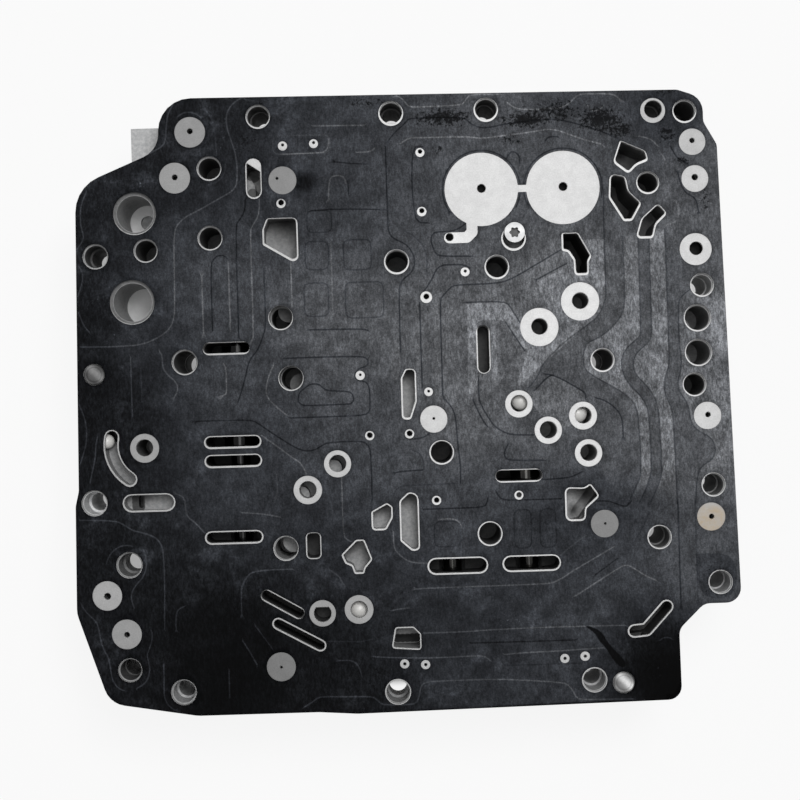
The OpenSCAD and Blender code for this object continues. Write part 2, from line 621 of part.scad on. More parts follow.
// Lengths of a valve's plug, spring, spool and bore, which spread with the plate
function plug_l(v) = v[4] * spread_y;
function spring_l(v) = v[5] * spread_y;
function steps(v) = [for (s = v[6]) [s[0] * spread_y, s[1]]];
function spool_l(v) = [for (s = steps(v)) s[0]] * [for (s = v[6]) 1];
function bore_l(v) = plug_l(v) + spring_l(v) + spool_l(v) + rest_gap;

// Puts a valve's pieces on its axis, +Z running from the mouth into the bore
module on_axis(v) {
    translate([at(v).x, v[2] * spread_y, v[1]]) rotate([-90 * v[3], 0, 0]) children();
}

module valve_bore(v) {
    on_axis(v) translate([0, 0, -3]) cylinder(d = bore_d, h = bore_l(v) + 3);
}

// Vertical hole for the pin through a plug, open downwards in the upper casting and upwards in the lower
module pin_place(v, d, low, high) {
    translate([at(v).x, v[2] * spread_y + v[3] * pin_from_mouth, v[1] + low])
        cylinder(d = d, h = high - low, $fn = 24);
}

module upper_body() {
    color([0.75, 0.75, 0.74])
        difference() {
            union() {
                translate([0, 0, deck_z]) linear_extrude(deck_h) outline_shape(deck_inset);
                translate([0, 0, core_z]) linear_extrude(core_h + cut) core_shape();
                for (c = case_bolts)
                    translate([at(c).x, at(c).y, deck_z - c[3]]) cylinder(d = boss_d, h = c[3] + cut);
                for (r = ribs)
                    translate([0, 0, deck_z - rib_h]) linear_extrude(rib_h + cut) path_shape(r, rib_w);
                for (w = webs)
                    translate([0, 0, deck_z - web_h]) linear_extrude(web_h + cut) path_shape(w, rib_w);
                for (c = fluid_ports)
                    translate([at(c).x, at(c).y, plate_z - c[3] - port_floor])
                        cylinder(d = boss_d, h = c[3] + port_floor - deck_h + cut);
                for (i = [0:2])
                    on_axis(valves[i])
                        cylinder(d = bore_d + 2 * barrel_wall, h = bore_l(valves[i]) + barrel_wall);
                translate([at(lug).x, at([0, lug[3]]).y, lug_top - lug_h])
                    cube([at([lug[2], 0]).x - at(lug).x, at([0, lug[1]]).y - at([0, lug[3]]).y, lug_h]);
            }
            deck_passages();
            deck_holes();
            for (i = [0:2]) {
                valve_bore(valves[i]);
                pin_place(valves[i], pin_d + 2 * fit, -bore_d, pin_reach + rest_gap);
            }
            for (c = body_bolts_at)
                translate([at(c).x, at(c).y, core_z - cut])
                    cylinder(d = body_bolt_d + 2 * fit, h = body_thread + cut + cut);
        }
}

// Middle plate and lower casting

module middle_plate() {
    color("lightslategrey")
        translate([0, 0, middle_z])
            linear_extrude(middle_t)
                difference() {
                    core_shape();
                    for (c = body_bolts_at) translate(at(c)) circle(d = body_bolt_d + 0.6);
                    translate(at(large_drilling)) circle(d = large_drilling[2]);
                    circles(long_bolts, -bare_rim);
                }
}

module lower_body() {
    color([0.72, 0.72, 0.71])
        difference() {
            linear_extrude(lower_h) core_shape();
            for (p = lower_passages)
                translate([0, 0, lower_h - p[1]]) linear_extrude(p[1] + cut) path_shape(p[2], p[0]);
            for (p = pockets)
                translate([0, 0, -cut])
                    linear_extrude(pocket_depth + cut)
                        translate(at(p))
                            polygon(rounded([[-p[2] / 2, -p[3] / 2, 4], [-p[2] / 2, p[3] / 2, 4],
                                             [p[2] / 2, p[3] / 2, 4], [p[2] / 2, -p[3] / 2, 4]]));
            translate([at(large_drilling).x, at(large_drilling).y, lower_h - large_drilling[3]])
                cylinder(d = large_drilling[2], h = large_drilling[3] + cut);
            for (c = long_bolts)
                translate([at(c).x, at(c).y, -cut]) cylinder(d = c[2] - 2 * bare_rim, h = lower_h + 2 * cut);
            for (c = body_bolts_at)
                translate([at(c).x, at(c).y, 0]) {
                    translate([0, 0, -cut]) cylinder(d = counterbore_d, h = counterbore + cut);
                    cylinder(d = body_bolt_d + 0.6, h = lower_h + cut);
                }
            for (i = [3:4]) {
                valve_bore(valves[i]);
                pin_place(valves[i], pin_d + 2 * fit, -pin_reach - rest_gap, lower_h);
            }
            for (i = [0:solenoid_n - 1]) at_solenoid(i) {
                translate([0, 0, -cut]) cylinder(d = nose_bore_d, h = nose_l + cut + cut);
                cylinder(d = nose_d / 2, h = nose_l + 8);
            }
            for (i = [0:solenoid_n - 2]) at_retainer_bolt(i)
                translate([0, 0, -cut]) cylinder(d = retainer_bolt_d + 2 * fit, h = retainer_bolt_l);
        }
}

module body_bolts() {
    color("dimgrey")
        for (c = body_bolts_at)
            translate([at(c).x, at(c).y, counterbore - body_bolt_head]) {
                cylinder(d = body_bolt_af / cos(30), h = body_bolt_head, $fn = 6);
                translate([0, 0, body_bolt_head - cut])
                    cylinder(d = body_bolt_d, h = core_z + body_thread - counterbore + cut);
            }
}

// Valves

// Radius profile of stacked steps [length, diameter] along +Y, closed on the axis
function step_profile(steps, i = 0, z = 0) =
    i == len(steps) ? [[0, z]]
    : concat([[steps[i][1] / 2, z], [steps[i][1] / 2, z + steps[i][0]]],
             step_profile(steps, i + 1, z + steps[i][0]));

module spool(v) {
    color("gainsboro")
        on_axis(v)
            translate([0, 0, plug_l(v) + spring_l(v)])
                rotate_extrude()
                    polygon(concat([[0, 0]], step_profile(steps(v))));
}

// Wire swept round a helix along +Z, closed at both ends
module coil(l, mean_d, wire, turns) {
    sides = 5;
    steps = turns * 9;
    rings = [for (i = [0:steps], j = [0:sides - 1])
        let (a = 360 * turns * i / steps, b = 360 * j / sides, r = (mean_d + wire * cos(b)) / 2)
        [r * cos(a), r * sin(a), wire / 2 + (l - wire) * i / steps + wire / 2 * sin(b)]];
    skin = [for (i = [0:steps - 1], j = [0:sides - 1])
        let (k = (j + 1) % sides, m = i * sides, n = m + sides)
        each [[m + j, m + k, n + k], [m + j, n + k, n + j]]];
    first = [for (j = [sides - 1:-1:0]) j];
    last = [for (j = [0:sides - 1]) steps * sides + j];
    polyhedron(points = rings, faces = concat(skin, [first, last]));
}

module valve_spring(v) {
    color("slategrey")
        on_axis(v)
            translate([0, 0, plug_l(v) + rest_gap / 2])
                coil(spring_l(v) - rest_gap, bore_d - valve_wire - 1.6, valve_wire, spring_turns);
}

module valve_plug(v) {
    recess = 5;
    color("darkgrey")
        difference() {
            on_axis(v)
                rotate_extrude()
                    polygon([[0, recess], [bore_d / 5, recess], [bore_d / 5, 0], [bore_d / 2 - 1, 0],
                             [bore_d / 2 - fit, 1 - fit], [bore_d / 2 - fit, plug_l(v)], [0, plug_l(v)]]);
            pin_place(v, pin_d + 2 * fit, -bore_d, bore_d);
        }
}

module upper_pin(v) {
    color("silver") pin_place(v, pin_d, rest_gap - bore_d / 2 - barrel_wall, pin_reach);
}

module lower_pin(v) {
    color("silver") pin_place(v, pin_d, -pin_reach, lower_h - v[1] - fit);
}

// Accumulators

module accumulator_piston(p) {
    groove = piston_h / 2;
    color("burlywood")
        translate([at(p).x, at(p).y, plate_z - rest_gap - piston_h])
            rotate_extrude()
                polygon([[dish_d / 2, piston_h], [dish_d / 2, piston_h - dish_depth],
                         [0, piston_h - dish_depth], [0, piston_h - piston_crown],
                         [piston_d / 2 - piston_wall, piston_h - piston_crown],
                         [piston_d / 2 - piston_wall, 0],
                         [piston_d / 2, 0], [piston_d / 2, groove - seal_w / 2],
                         [piston_d / 2 - seal_depth, groove - seal_w / 2],
                         [piston_d / 2 - seal_depth, groove + seal_w / 2],
                         [piston_d / 2, groove + seal_w / 2], [piston_d / 2, piston_h]]);
}

module accumulator_seal(p) {
    inside = piston_d / 2 - seal_depth + fit;
    color([0.1, 0.1, 0.1])
        translate([at(p).x, at(p).y, plate_z - rest_gap - piston_h / 2 - seal_w / 2 + fit])
            rotate_extrude()
                translate([inside, 0])
                    square([acc_d / 2 - fit - inside, seal_w - 2 * fit]);
}

module accumulator_spring(p) {
    l = acc_depth - rest_gap - piston_crown - rest_gap;
    color("slategrey")
        translate([at(p).x, at(p).y, acc_floor + rest_gap / 2])
            coil(l, piston_d - 2 * piston_wall - acc_wire - 1, acc_wire, acc_turns);
}

// Solenoids

// Places pieces on a solenoid's axis, +Z running from the casting's front face into its bore
module at_solenoid(i) {
    translate([solenoid_x(i), at([0, core_front]).y, lower_axis]) rotate([-90, 0, 0]) children();
}

// The same for a retainer bolt, between two solenoids
module at_retainer_bolt(i) {
    translate([solenoid_x(i + 0.5), at([0, core_front]).y, lower_axis + retainer_bolt_rise])
        rotate([-90, 0, 0])
            children();
}

module solenoid_can(i) {
    crimp = 1.2;
    color("lightgrey")
        at_solenoid(i)
            rotate_extrude()
                polygon([[0, 0], [flange_d / 2, 0], [flange_d / 2, -flange_t], [can_d / 2, -flange_t],
                         [can_d / 2, 4 - can_l], [can_d / 2 - crimp, 3 - can_l],
                         [can_d / 2 - crimp, 2 - can_l], [can_d / 2 - crimp / 2, 1.4 - can_l],
                         [can_d / 2 - 2, -can_l], [0, -can_l]]);
}

module solenoid_nose(i) {
    tip = 1;
    color([0.55, 0.45, 0.3])
        at_solenoid(i)
            difference() {
                rotate_extrude()
                    polygon([[0, 0], [nose_d / 2, 0], [nose_d / 2, nose_l - tip], [nose_d / 2 - tip, nose_l],
                             [nose_d / 6, nose_l], [nose_d / 6, nose_l / 2], [0, nose_l / 2]]);
                for (z = ring_at)
                    translate([0, 0, z - ring_groove_w / 2])
                        difference() {
                            cylinder(d = nose_d + cut, h = ring_groove_w);
                            translate([0, 0, -cut])
                                cylinder(d = nose_d - 2 * ring_groove, h = ring_groove_w + 2 * cut);
                        }
            }
}

module solenoid_o_rings() {
    color([0.1, 0.1, 0.1])
        for (i = [0:solenoid_n - 1], z = ring_at)
            at_solenoid(i)
                translate([0, 0, z])
                    rotate_extrude()
                        translate([nose_d / 2 - ring_groove + ring_d / 2 + fit, 0])
                            circle(d = ring_d, $fn = 24);
}

// Plastic end cap that holds the two contact blades
module solenoid_cap(i) {
    w = cap_w / 2;
    h = cap_h / 2;
    color([0.13, 0.13, 0.14])
        at_solenoid(i)
            translate([0, 0, -can_l])
                difference() {
                    union() {
                        translate([0, 0, -cap_neck - cut]) cylinder(d = cap_neck_d, h = cap_neck + cut);
                        translate([0, 0, -cap_l])
                            linear_extrude(cap_l - cap_neck)
                                polygon(rounded([[-w, -h, 1.5], [-w, h, 1.5], [w, h, 1.5], [w, -h, 1.5]]));
                    }
                    for (s = [-1, 1])
                        translate([s * cap_w / 4 - blade_w / 2 - fit, -blade_t / 2 - fit, -cap_l - cut])
                            cube([blade_w + 2 * fit, blade_t + 2 * fit, blade_in + cut + fit]);
                }
}

module contact_blades() {
    color("goldenrod")
        for (i = [0:solenoid_n - 1], s = [-1, 1])
            at_solenoid(i)
                translate([s * cap_w / 4 - blade_w / 2, -blade_t / 2, -can_l - cap_l - blade_out])
                    cube([blade_w, blade_t, blade_out + blade_in]);
}

module solenoid_retainer() {
    l = (solenoid_n - 1) * solenoid_pitch + can_d + 8;
    h = retainer_h / 2;
    color("silver")
        translate([0, at([0, core_front]).y - flange_t, lower_axis])
            rotate([90, 0, 0])
                linear_extrude(retainer_t)
                    difference() {
                        polygon(rounded([[-l / 2, -h, 3], [-l / 2, h, 3], [l / 2, h, 3], [l / 2, -h, 3]]));
                        for (i = [0:solenoid_n - 1]) translate([solenoid_x(i), 0]) circle(d = can_d + 0.3);
                        for (i = [0:solenoid_n - 2])
                            translate([solenoid_x(i + 0.5), retainer_bolt_rise])
                                circle(d = retainer_bolt_d + 0.4);
                    }
}

module retainer_bolts() {
    seat = -flange_t - retainer_t;
    color("dimgrey")
        for (i = [0:solenoid_n - 2])
            at_retainer_bolt(i) {
                translate([0, 0, seat - 4]) cylinder(d = 8 / cos(30), h = 4, $fn = 6);
                translate([0, 0, seat - cut]) cylinder(d = retainer_bolt_d, h = retainer_bolt_l + cut);
            }
}

separator_plate();
bonded_gasket();
upper_body();
middle_plate();
lower_body();
plate_screw();
locating_dowels();
check_balls();
body_bolts();
spool(valves[0]);  // regulator_spool
valve_spring(valves[0]);  // regulator_spring
valve_plug(valves[0]);  // regulator_plug
upper_pin(valves[0]);  // regulator_pin
spool(valves[1]);  // shift_spool_left
valve_spring(valves[1]);  // shift_spring_left
valve_plug(valves[1]);  // shift_plug_left
upper_pin(valves[1]);  // shift_pin_left
spool(valves[2]);  // shift_spool_right
valve_spring(valves[2]);  // shift_spring_right
valve_plug(valves[2]);  // shift_plug_right
upper_pin(valves[2]);  // shift_pin_right
spool(valves[3]);  // clutch_spool
valve_spring(valves[3]);  // clutch_spring
valve_plug(valves[3]);  // clutch_plug
lower_pin(valves[3]);  // clutch_pin
spool(valves[4]);  // converter_spool
valve_spring(valves[4]);  // converter_spring
valve_plug(valves[4]);  // converter_plug
lower_pin(valves[4]);  // converter_pin
accumulator_piston(accumulators[0]);  // accumulator_piston_left
accumulator_seal(accumulators[0]);  // accumulator_seal_left
accumulator_spring(accumulators[0]);  // accumulator_spring_left
accumulator_piston(accumulators[1]);  // accumulator_piston_right
accumulator_seal(accumulators[1]);  // accumulator_seal_right
accumulator_spring(accumulators[1]);  // accumulator_spring_right
solenoid_can(0);  // solenoid_can_1
solenoid_can(1);  // solenoid_can_2
solenoid_can(2);  // solenoid_can_3
solenoid_can(3);  // solenoid_can_4
solenoid_can(4);  // solenoid_can_5
solenoid_nose(0);  // solenoid_nose_1
solenoid_nose(1);  // solenoid_nose_2
solenoid_nose(2);  // solenoid_nose_3
solenoid_nose(3);  // solenoid_nose_4
solenoid_nose(4);  // solenoid_nose_5
solenoid_cap(0);  // solenoid_cap_1
solenoid_cap(1);  // solenoid_cap_2
solenoid_cap(2);  // solenoid_cap_3
solenoid_cap(3);  // solenoid_cap_4
solenoid_cap(4);  // solenoid_cap_5
solenoid_o_rings();
contact_blades();
solenoid_retainer();
retainer_bolts();
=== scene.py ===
"""Looks of a transmission valve body around its CAD frame: worn rubber coating, bare steel and castings."""
import json
import math

import bmesh
import bpy
import numpy as np
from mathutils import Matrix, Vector, geometry, kdtree


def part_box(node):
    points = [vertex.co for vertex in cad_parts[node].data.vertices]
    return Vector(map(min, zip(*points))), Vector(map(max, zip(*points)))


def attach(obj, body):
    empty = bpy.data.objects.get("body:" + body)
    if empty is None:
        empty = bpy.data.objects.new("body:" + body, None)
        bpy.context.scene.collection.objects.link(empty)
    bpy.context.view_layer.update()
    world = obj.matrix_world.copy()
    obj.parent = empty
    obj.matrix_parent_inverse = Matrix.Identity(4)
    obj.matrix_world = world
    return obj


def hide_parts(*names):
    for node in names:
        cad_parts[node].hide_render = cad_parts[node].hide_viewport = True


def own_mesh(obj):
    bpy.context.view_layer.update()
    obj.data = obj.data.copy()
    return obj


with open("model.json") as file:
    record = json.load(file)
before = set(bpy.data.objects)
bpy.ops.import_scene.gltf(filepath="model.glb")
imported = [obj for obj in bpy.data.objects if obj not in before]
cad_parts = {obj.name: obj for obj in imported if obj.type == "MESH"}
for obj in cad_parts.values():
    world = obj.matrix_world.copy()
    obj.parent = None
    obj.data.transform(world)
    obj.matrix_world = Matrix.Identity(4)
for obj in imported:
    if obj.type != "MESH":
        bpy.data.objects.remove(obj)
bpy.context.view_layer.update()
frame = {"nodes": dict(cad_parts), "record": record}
nodes = frame["nodes"]
MM = 0.001


def linear(hex_colour):
    """A hex sRGB colour as linear RGBA."""
    parts = [int(hex_colour[i:i + 2], 16) / 255 for i in (1, 3, 5)]
    return tuple(c / 12.92 if c <= 0.04045 else ((c + 0.055) / 1.055) ** 2.4 for c in parts) + (1.0,)


# Smooth ends for a value that is mapped from one range to another.
SMOOTH = {"interpolation_type": "SMOOTHSTEP"}


def add(tree, kind, values=(), **settings):
    """A shader node with its properties set, and constants or links put on its inputs, by name or in order.
    A node that is given as a value is linked by its first output."""
    made = tree.nodes.new("ShaderNode" + kind)
    for name, value in settings.items():
        setattr(made, name, value)
    for key, value in values.items() if isinstance(values, dict) else enumerate(values):
        if isinstance(value, bpy.types.Node):
            value = value.outputs[0]
        if isinstance(value, bpy.types.NodeSocket):
            tree.links.new(value, made.inputs[key])
        else:
            made.inputs[key].default_value = value
    return made


def new_material(name):
    """An empty node material: the material, its tree and its output node."""
    material = bpy.data.materials.new(name)
    material.use_nodes = True
    material.node_tree.nodes.clear()
    return material, material.node_tree, add(material.node_tree, "OutputMaterial")


# The coating

# Lines that the transmission case pressed into the rubber, in mm on the plate.
BRIGHT_LINES = [
    [(-55.5, 112.3), (-58.5, 110.5), (-60.5, 108), (-61.3, 105), (-61, 101.5), (-60, 98), (-59, 95),
     (-58, 91), (-57.7, 86), (-58, 81.5), (-59, 79.2), (-61, 77.8), (-66, 75.2), (-72, 72), (-76, 70.2),
     (-79, 68.2), (-81, 65.5), (-81.6, 60), (-81.7, 50), (-82, 38), (-82.2, 34), (-83, 31), (-84.5, 28.8),
     (-87, 26.8), (-90, 25.3), (-94, 23.8), (-100, 23.3), (-110, 23.3), (-117, 23.5)],
    [(-80.5, 110.5), (-82.5, 107), (-83, 103), (-83.5, 98), (-84.3, 95.8), (-87, 94.3), (-90, 93)],
    [(-79, 106), (-77, 107.5), (-74.5, 107.8), (-72, 107), (-70.5, 105.8)],
    [(-113, 79.5), (-115, 75), (-115.4, 70), (-115, 66), (-114.2, 63.5), (-115, 61.5), (-117, 59)],
    [(-116.5, 53), (-115.3, 51), (-115, 48), (-116, 45), (-117, 42)],
    [(-50, 75), (-50.3, 70), (-51.5, 67.5), (-53, 65.5), (-53.7, 64), (-53.6, 26), (-54, 24.5),
     (-55, 22.5)], [(-62, 53.5), (-62, 28)], [(-71.8, 47.5), (-71.8, 27.5)], [(-39.3, 52), (-39.3, 36)],
    [(1, 111.3), (3, 110.3), (4, 108.8), (5.5, 107.2), (8, 107), (24, 107.2), (25.5, 108), (26.8, 110.2),
     (28, 111), (38, 110.8)],
    [(2, 94), (4, 95.3), (6, 96), (12, 95.8), (20, 95.8), (28, 95.6), (30, 95), (33, 95), (41, 95.8),
     (50, 96.7), (55, 97.5), (58, 97.3), (62, 96), (68, 93.5), (75, 91.5)],
    [(-41, 91.3), (-28, 91.5), (-25.5, 91.8), (-24.3, 93.5), (-24.2, 96)],
    [(-14, 91.2), (-9, 91.3), (-7.5, 92.5)], [(-30, 101.3), (-11, 101)],
    [(-24.8, 75), (-24.5, 81), (-23.5, 82.8), (-22, 83), (-20, 83), (-18.8, 82), (-18.3, 80)],
    [(41.5, 107.5), (43, 106), (46, 105), (52, 104.8), (58, 105), (61, 105.3), (63.5, 106.5), (65.3, 108.2),
     (66.8, 109.6), (69, 110), (78.5, 109.8), (80.3, 109.2), (82, 107.7)],
    [(70.5, 105.5), (71.5, 104), (73, 103.4), (75, 104.3)],
    [(88.5, 94), (92, 93.2), (94, 92), (95.2, 90.3)],
    [(-117, 36), (-116, 33), (-114.8, 30.5), (-113.2, 28.7)], [(-98.6, 19.3), (-98.6, -2.2)],
    [(-88, 21), (-87, 19.5), (-87.2, 16.5), (-86.5, 14), (-84.8, 11.8), (-83, 10.5), (-81.9, 8.8),
     (-81.8, 6.5), (-83, 4.3)],
    [(-118, 3), (-117, 0.5), (-115.8, -3), (-115.3, -7), (-115.7, -12), (-117, -16), (-118, -19)],
    [(-111.5, -9.5), (-112.2, -12), (-112.5, -17), (-113.5, -21), (-114.6, -25.5)],
    [(-64.7, 15.8), (-64, 14.5), (-64, 6), (-64.3, 4.5), (-65.5, 4.2)],
    [(-46.8, 14.5), (-48, 12), (-49.2, 9), (-49.8, 5.5), (-49.3, 3), (-47.5, 1), (-45.5, -1),
     (-42.5, -3.5)],
    [(-52, -10.5), (-50, -12), (-46, -15), (-41, -19), (-38.5, -20.5), (-37, -22.5), (-36, -25)],
    [(-83.5, -31), (-81.3, -31.8), (-80.3, -33.5), (-80.3, -39), (-77, -41.5), (-74, -45)],
    [(-23.2, -27), (-23.2, -48), (-22, -49.5), (-20.5, -50.2)],
    [(-119, -39.5), (-106, -40), (-103, -41.5), (-100, -43.7), (-97, -44.5), (-93.5, -45.5), (-91, -47),
     (-89.5, -49), (-88.8, -52), (-88.7, -65), (-89, -72), (-89.2, -80)],
    [(-109.5, -55), (-108.5, -52.5), (-106, -50), (-103, -49), (-100.5, -49.3)],
    [(-96, -51), (-95, -54), (-95.2, -58), (-96.5, -61), (-99, -63.5), (-100.8, -66), (-101, -69),
     (-100, -72)],
    [(-119.3, -70), (-118, -72.5), (-115.5, -75), (-113.8, -77), (-113, -79.5), (-112.7, -83),
     (-111.5, -87), (-109.8, -90), (-109.3, -94), (-108.8, -98), (-107, -100.8), (-105, -101.8)],
    [(-93.8, -81), (-93.9, -84), (-95, -87), (-96, -89.5), (-95.3, -92), (-95, -95), (-95.8, -98),
     (-97.5, -100), (-100, -101.2)],
    [(-90, -93), (-89.9, -98), (-90.2, -104), (-89.5, -106.5), (-88, -108.5), (-86.5, -109.5)],
    [(-85, -80.5), (-85, -75), (-84.2, -73), (-82, -72)], [(-66.3, -95.5), (-66.3, -105.5)],
    [(-61, -75.5), (-61, -67), (-60.2, -64), (-58, -61), (-56, -60), (-50, -59.6), (-42, -59.6)],
    [(-56, -80), (-50.5, -88)], [(-61, -85), (-58, -90), (-56, -94)],
    [(-60, -38.5), (-52, -39.2), (-46, -40.5)],
    [(-5, -47), (-5, -53), (-4, -54.5), (-2, -56.5), (0, -58), (3, -58.7), (7, -58.9)],
    [(-28.5, -60.3), (-26.5, -61.7), (-25, -63), (-24.3, -64.7)],
    [(2.5, -68.2), (10, -68), (50, -67.8), (53, -67.3), (56, -65.8), (60, -63.3), (65, -60.5), (70, -57.8),
     (75, -55)], [(-6.5, -75.8), (-4, -75.3), (0, -75)],
    [(5, -84.3), (20, -84.3), (30, -83.8), (50, -83.5), (78, -83.7)],
    [(-26, -93.4), (-22, -93.3), (-20, -94.3), (-18.7, -96.5), (-18, -99.5)],
    [(-13, -92.4), (-5, -93), (8, -93.5), (20, -93.2), (26, -93.2), (27.5, -93.8), (28.2, -94.5)],
    [(34, -93), (42, -92.5), (55, -92.3), (60, -92), (70, -91.7)],
    [(-39, -109.7), (-36.5, -108.3), (-34.5, -106.8), (-33, -106.3), (-25, -106.5), (-15, -106.8),
     (-13.5, -107.3), (-12, -109), (-10.5, -110), (0.5, -110.2), (2, -109), (2.8, -106.5), (3.2, -103.8),
     (4.5, -102.3), (8, -101.9), (30, -101.8), (42, -102.6), (55, -103.8), (57, -104.8), (58.5, -106.8),
     (59.5, -109), (60.5, -110.3), (80, -110.5)],
    [(11.5, -43.3), (13, -43), (17, -43.1), (19, -44), (19.8, -46)],
    [(60.5, -72.5), (63, -71), (70, -66.7), (75, -63.8), (78, -62), (80, -61.8), (82, -63), (86, -65.8),
     (90, -67.7)], [(90.8, -89.5), (92.5, -88.3), (94.5, -88.8)]]
FAINT_LINES = [
    [(-68.5, 108), (-67, 106), (-65.8, 103), (-65.3, 97), (-65, 92)],
    [(-62, 88), (-62.5, 84.5), (-65, 82), (-68, 81)], [(96, 88), (97.8, 86), (98.1, 83.5)],
    [(101.5, 70), (102.5, 67), (102.2, 64), (100.5, 62), (98, 61.5)], [(-95, 15), (-95, 3)],
    [(-75.8, -25), (-75.5, -22)], [(-46.8, -25), (-46.5, -31), (-47.2, -33)],
    [(-30, -86.2), (-24, -86.5), (-18, -86.8), (-14, -86)], [(55.5, -57.5), (60, -54), (65, -50.5)],
    [(-24.5, 59), (-24.5, 32)]]
DARK_LINES = [
    [(-55.2, 75), (-55.3, 72), (-56.3, 69.5), (-58, 67.3), (-59, 66), (-59, 25)],
    [(-49.2, 50), (-49, 29), (-50, 26), (-51.5, 22), (-53, 19.5), (-55, 17.5), (-56, 15), (-57, 11),
     (-58.5, 6), (-59.7, 2.5)],
    [(-68.5, 28), (-68.5, 52), (-67, 54.5), (-65, 55.5), (-63, 55), (-62, 53.5)],
    [(-2.5, 95), (-1, 97), (1, 99), (3.5, 101), (5, 102.8), (6, 103), (25, 102.9), (26.5, 101.5),
     (28.5, 99.8), (31, 98.8), (34, 98.7), (37, 99.3), (41, 100), (50, 100.9), (55, 101.2), (60, 100.8),
     (64, 99.8), (70, 98), (76, 95.8), (80, 93.8)],
    [(-3.6, 93), (-3.6, 64), (-3.4, 62), (-2.5, 60.3), (-0.5, 58.8), (2, 57.8), (4, 56), (5.3, 53.5),
     (5.9, 51), (5.3, 48), (3.5, 46), (1.5, 44.8), (0.3, 43), (-0.3, 40), (-0.4, 18)],
    [(10, 92.6), (5.7, 92.8), (5.7, 65), (11, 64.8)],
    [(24.5, 64), (21, 61.5), (14, 61.5), (12.3, 60.5), (11.8, 58.5), (12.5, 56), (13.5, 53.5), (15, 52.5),
     (26, 52.2)],
    [(8.7, 40), (10, 41.5), (12, 44.5), (13.5, 47.8), (15, 49), (17, 49.4), (24, 49.2), (25.5, 48)],
    [(14.5, 2), (14.5, 36.5), (15.5, 38), (17, 39.5), (19, 41.5), (21, 41.9), (36, 42), (41, 43.5),
     (50, 48.5), (59, 53.5)], [(-17.7, 81), (-17.5, 76.5)],
    [(-32, 70.4), (-26, 70.8), (-14, 70.6), (-4, 70)], [(-22, 88), (-16, 87.2), (-9, 86.8)],
    [(100, 90), (101.5, 87), (103, 85), (104.5, 84.4)],
    [(102.5, 80), (102.8, 78), (104, 74.5), (105.5, 72.5), (108, 71.3), (109, 69.5), (109.5, 66)],
    [(50, 43), (55, 45.5), (61, 48.5)],
    [(40.2, 87.3), (41.3, 89), (42.5, 90), (44, 89.3), (45.3, 87.7), (45, 85.7)],
    [(54.5, 93.3), (55.3, 94.5), (57, 94.9), (59, 94.7)],
    [(52, 8.5), (54, 8.3), (58, 6.5), (62, 4), (65, 2.2), (66.5, 1), (66.5, -0.5)],
    [(70.5, -0.8), (73, -1.5), (76, -3.5), (78.3, -6), (79.5, -8.5), (79.7, -15)],
    [(-75, -4.8), (-56, -4.8), (-53.5, -5.8), (-50, -8.5), (-45, -12), (-40.5, -15), (-37, -16.7),
     (-34, -16.9), (-31.5, -16), (-29.5, -14.6), (-27, -13.9), (-16, -13.8), (-14, -14.5), (-12.8, -16),
     (-12.3, -18), (-12.3, -35)],
    [(-43, 17.1), (-30, 17.2), (-14.5, 17), (-12.7, 16.3), (-12, 15), (-12.6, 13.6), (-14, 13), (-16, 12.5),
     (-17.7, 10), (-16, 8), (-14, 8), (-12.6, 7), (-12, 5), (-12, -2), (-12.5, -3.5), (-13.8, -4.3),
     (-20, -4.6), (-41, -4.6)],
    [(-36, -0.2), (-37.5, 0.3), (-38.3, 1.5), (-38, 3), (-37.5, 4.8), (-35.5, 6), (-34, 7.5), (-30.5, 7.5),
     (-29, 6), (-27.5, 4.8), (-20, 4.5), (-18.2, 3.5), (-17.8, 1.5), (-18.5, 0), (-20, -0.3), (-36, -0.3)],
    [(7.1, 36), (7.1, 5)],
    [(14.5, 2), (15, 0.5), (16.5, -1), (18.2, -3.5), (18.9, -6), (19.1, -10), (19.6, -18), (20.2, -25),
     (20, -30)],
    [(27.6, 8), (27.6, 0), (28, -1), (29.3, -4), (31, -7), (33, -10), (36, -12), (39, -13.2), (47, -13.5)],
    [(25.5, 0), (27, -4), (29, -8), (30.5, -10)], [(24.5, 35.4), (38.5, 35.4), (40, 33.3), (43.4, 27.5)],
    [(0.3, -12), (1, -13.5), (4, -13.7), (7, -13.2), (9, -12)], [(-3.5, -25.7), (-2, -25.3), (6.5, -25)],
    [(6, -39.3), (28, -39.3), (29.3, -38.2), (29.8, -36)],
    [(37.5, -17), (36.3, -19), (36.2, -21), (37.5, -22.5), (50, -22.8)],
    [(33, -34), (34, -36), (36, -37), (56.5, -37)], [(50, -29.8), (60, -29.5), (64, -27.5)],
    [(-33, 27.2), (-13.5, 27), (-12, 26.3)],
    [(69, -38.2), (74, -38.3), (78, -40.2), (80.3, -40.6), (82, -38.5)], [(38.2, 27.8), (44.8, 17.2)],
    [(47.8, 2.6), (49, 3.6), (52.6, 7.4), (54.7, 8.1)], [(98.8, -39), (98.8, -77)],
    [(68, -65), (76, -59.5)], [(22, -88.5), (60, -88.5)]]
SHADE_LINES = [
    [(3, 61.8), (5.5, 60.5), (8, 58), (9.8, 55), (10.3, 51), (10, 47)], [(34, -97), (62, -97)],
    [(105, -40), (105, -75)], [(6.8, -25), (6.7, -21.5), (5.6, -18.8), (3, -17.8)],
    [(-4.4, -34), (-3.8, -32), (-2, -30.8), (0, -30.5), (18, -30.3)],
    [(79, -58), (83, -53), (86.3, -47.3), (88.3, -43)]]

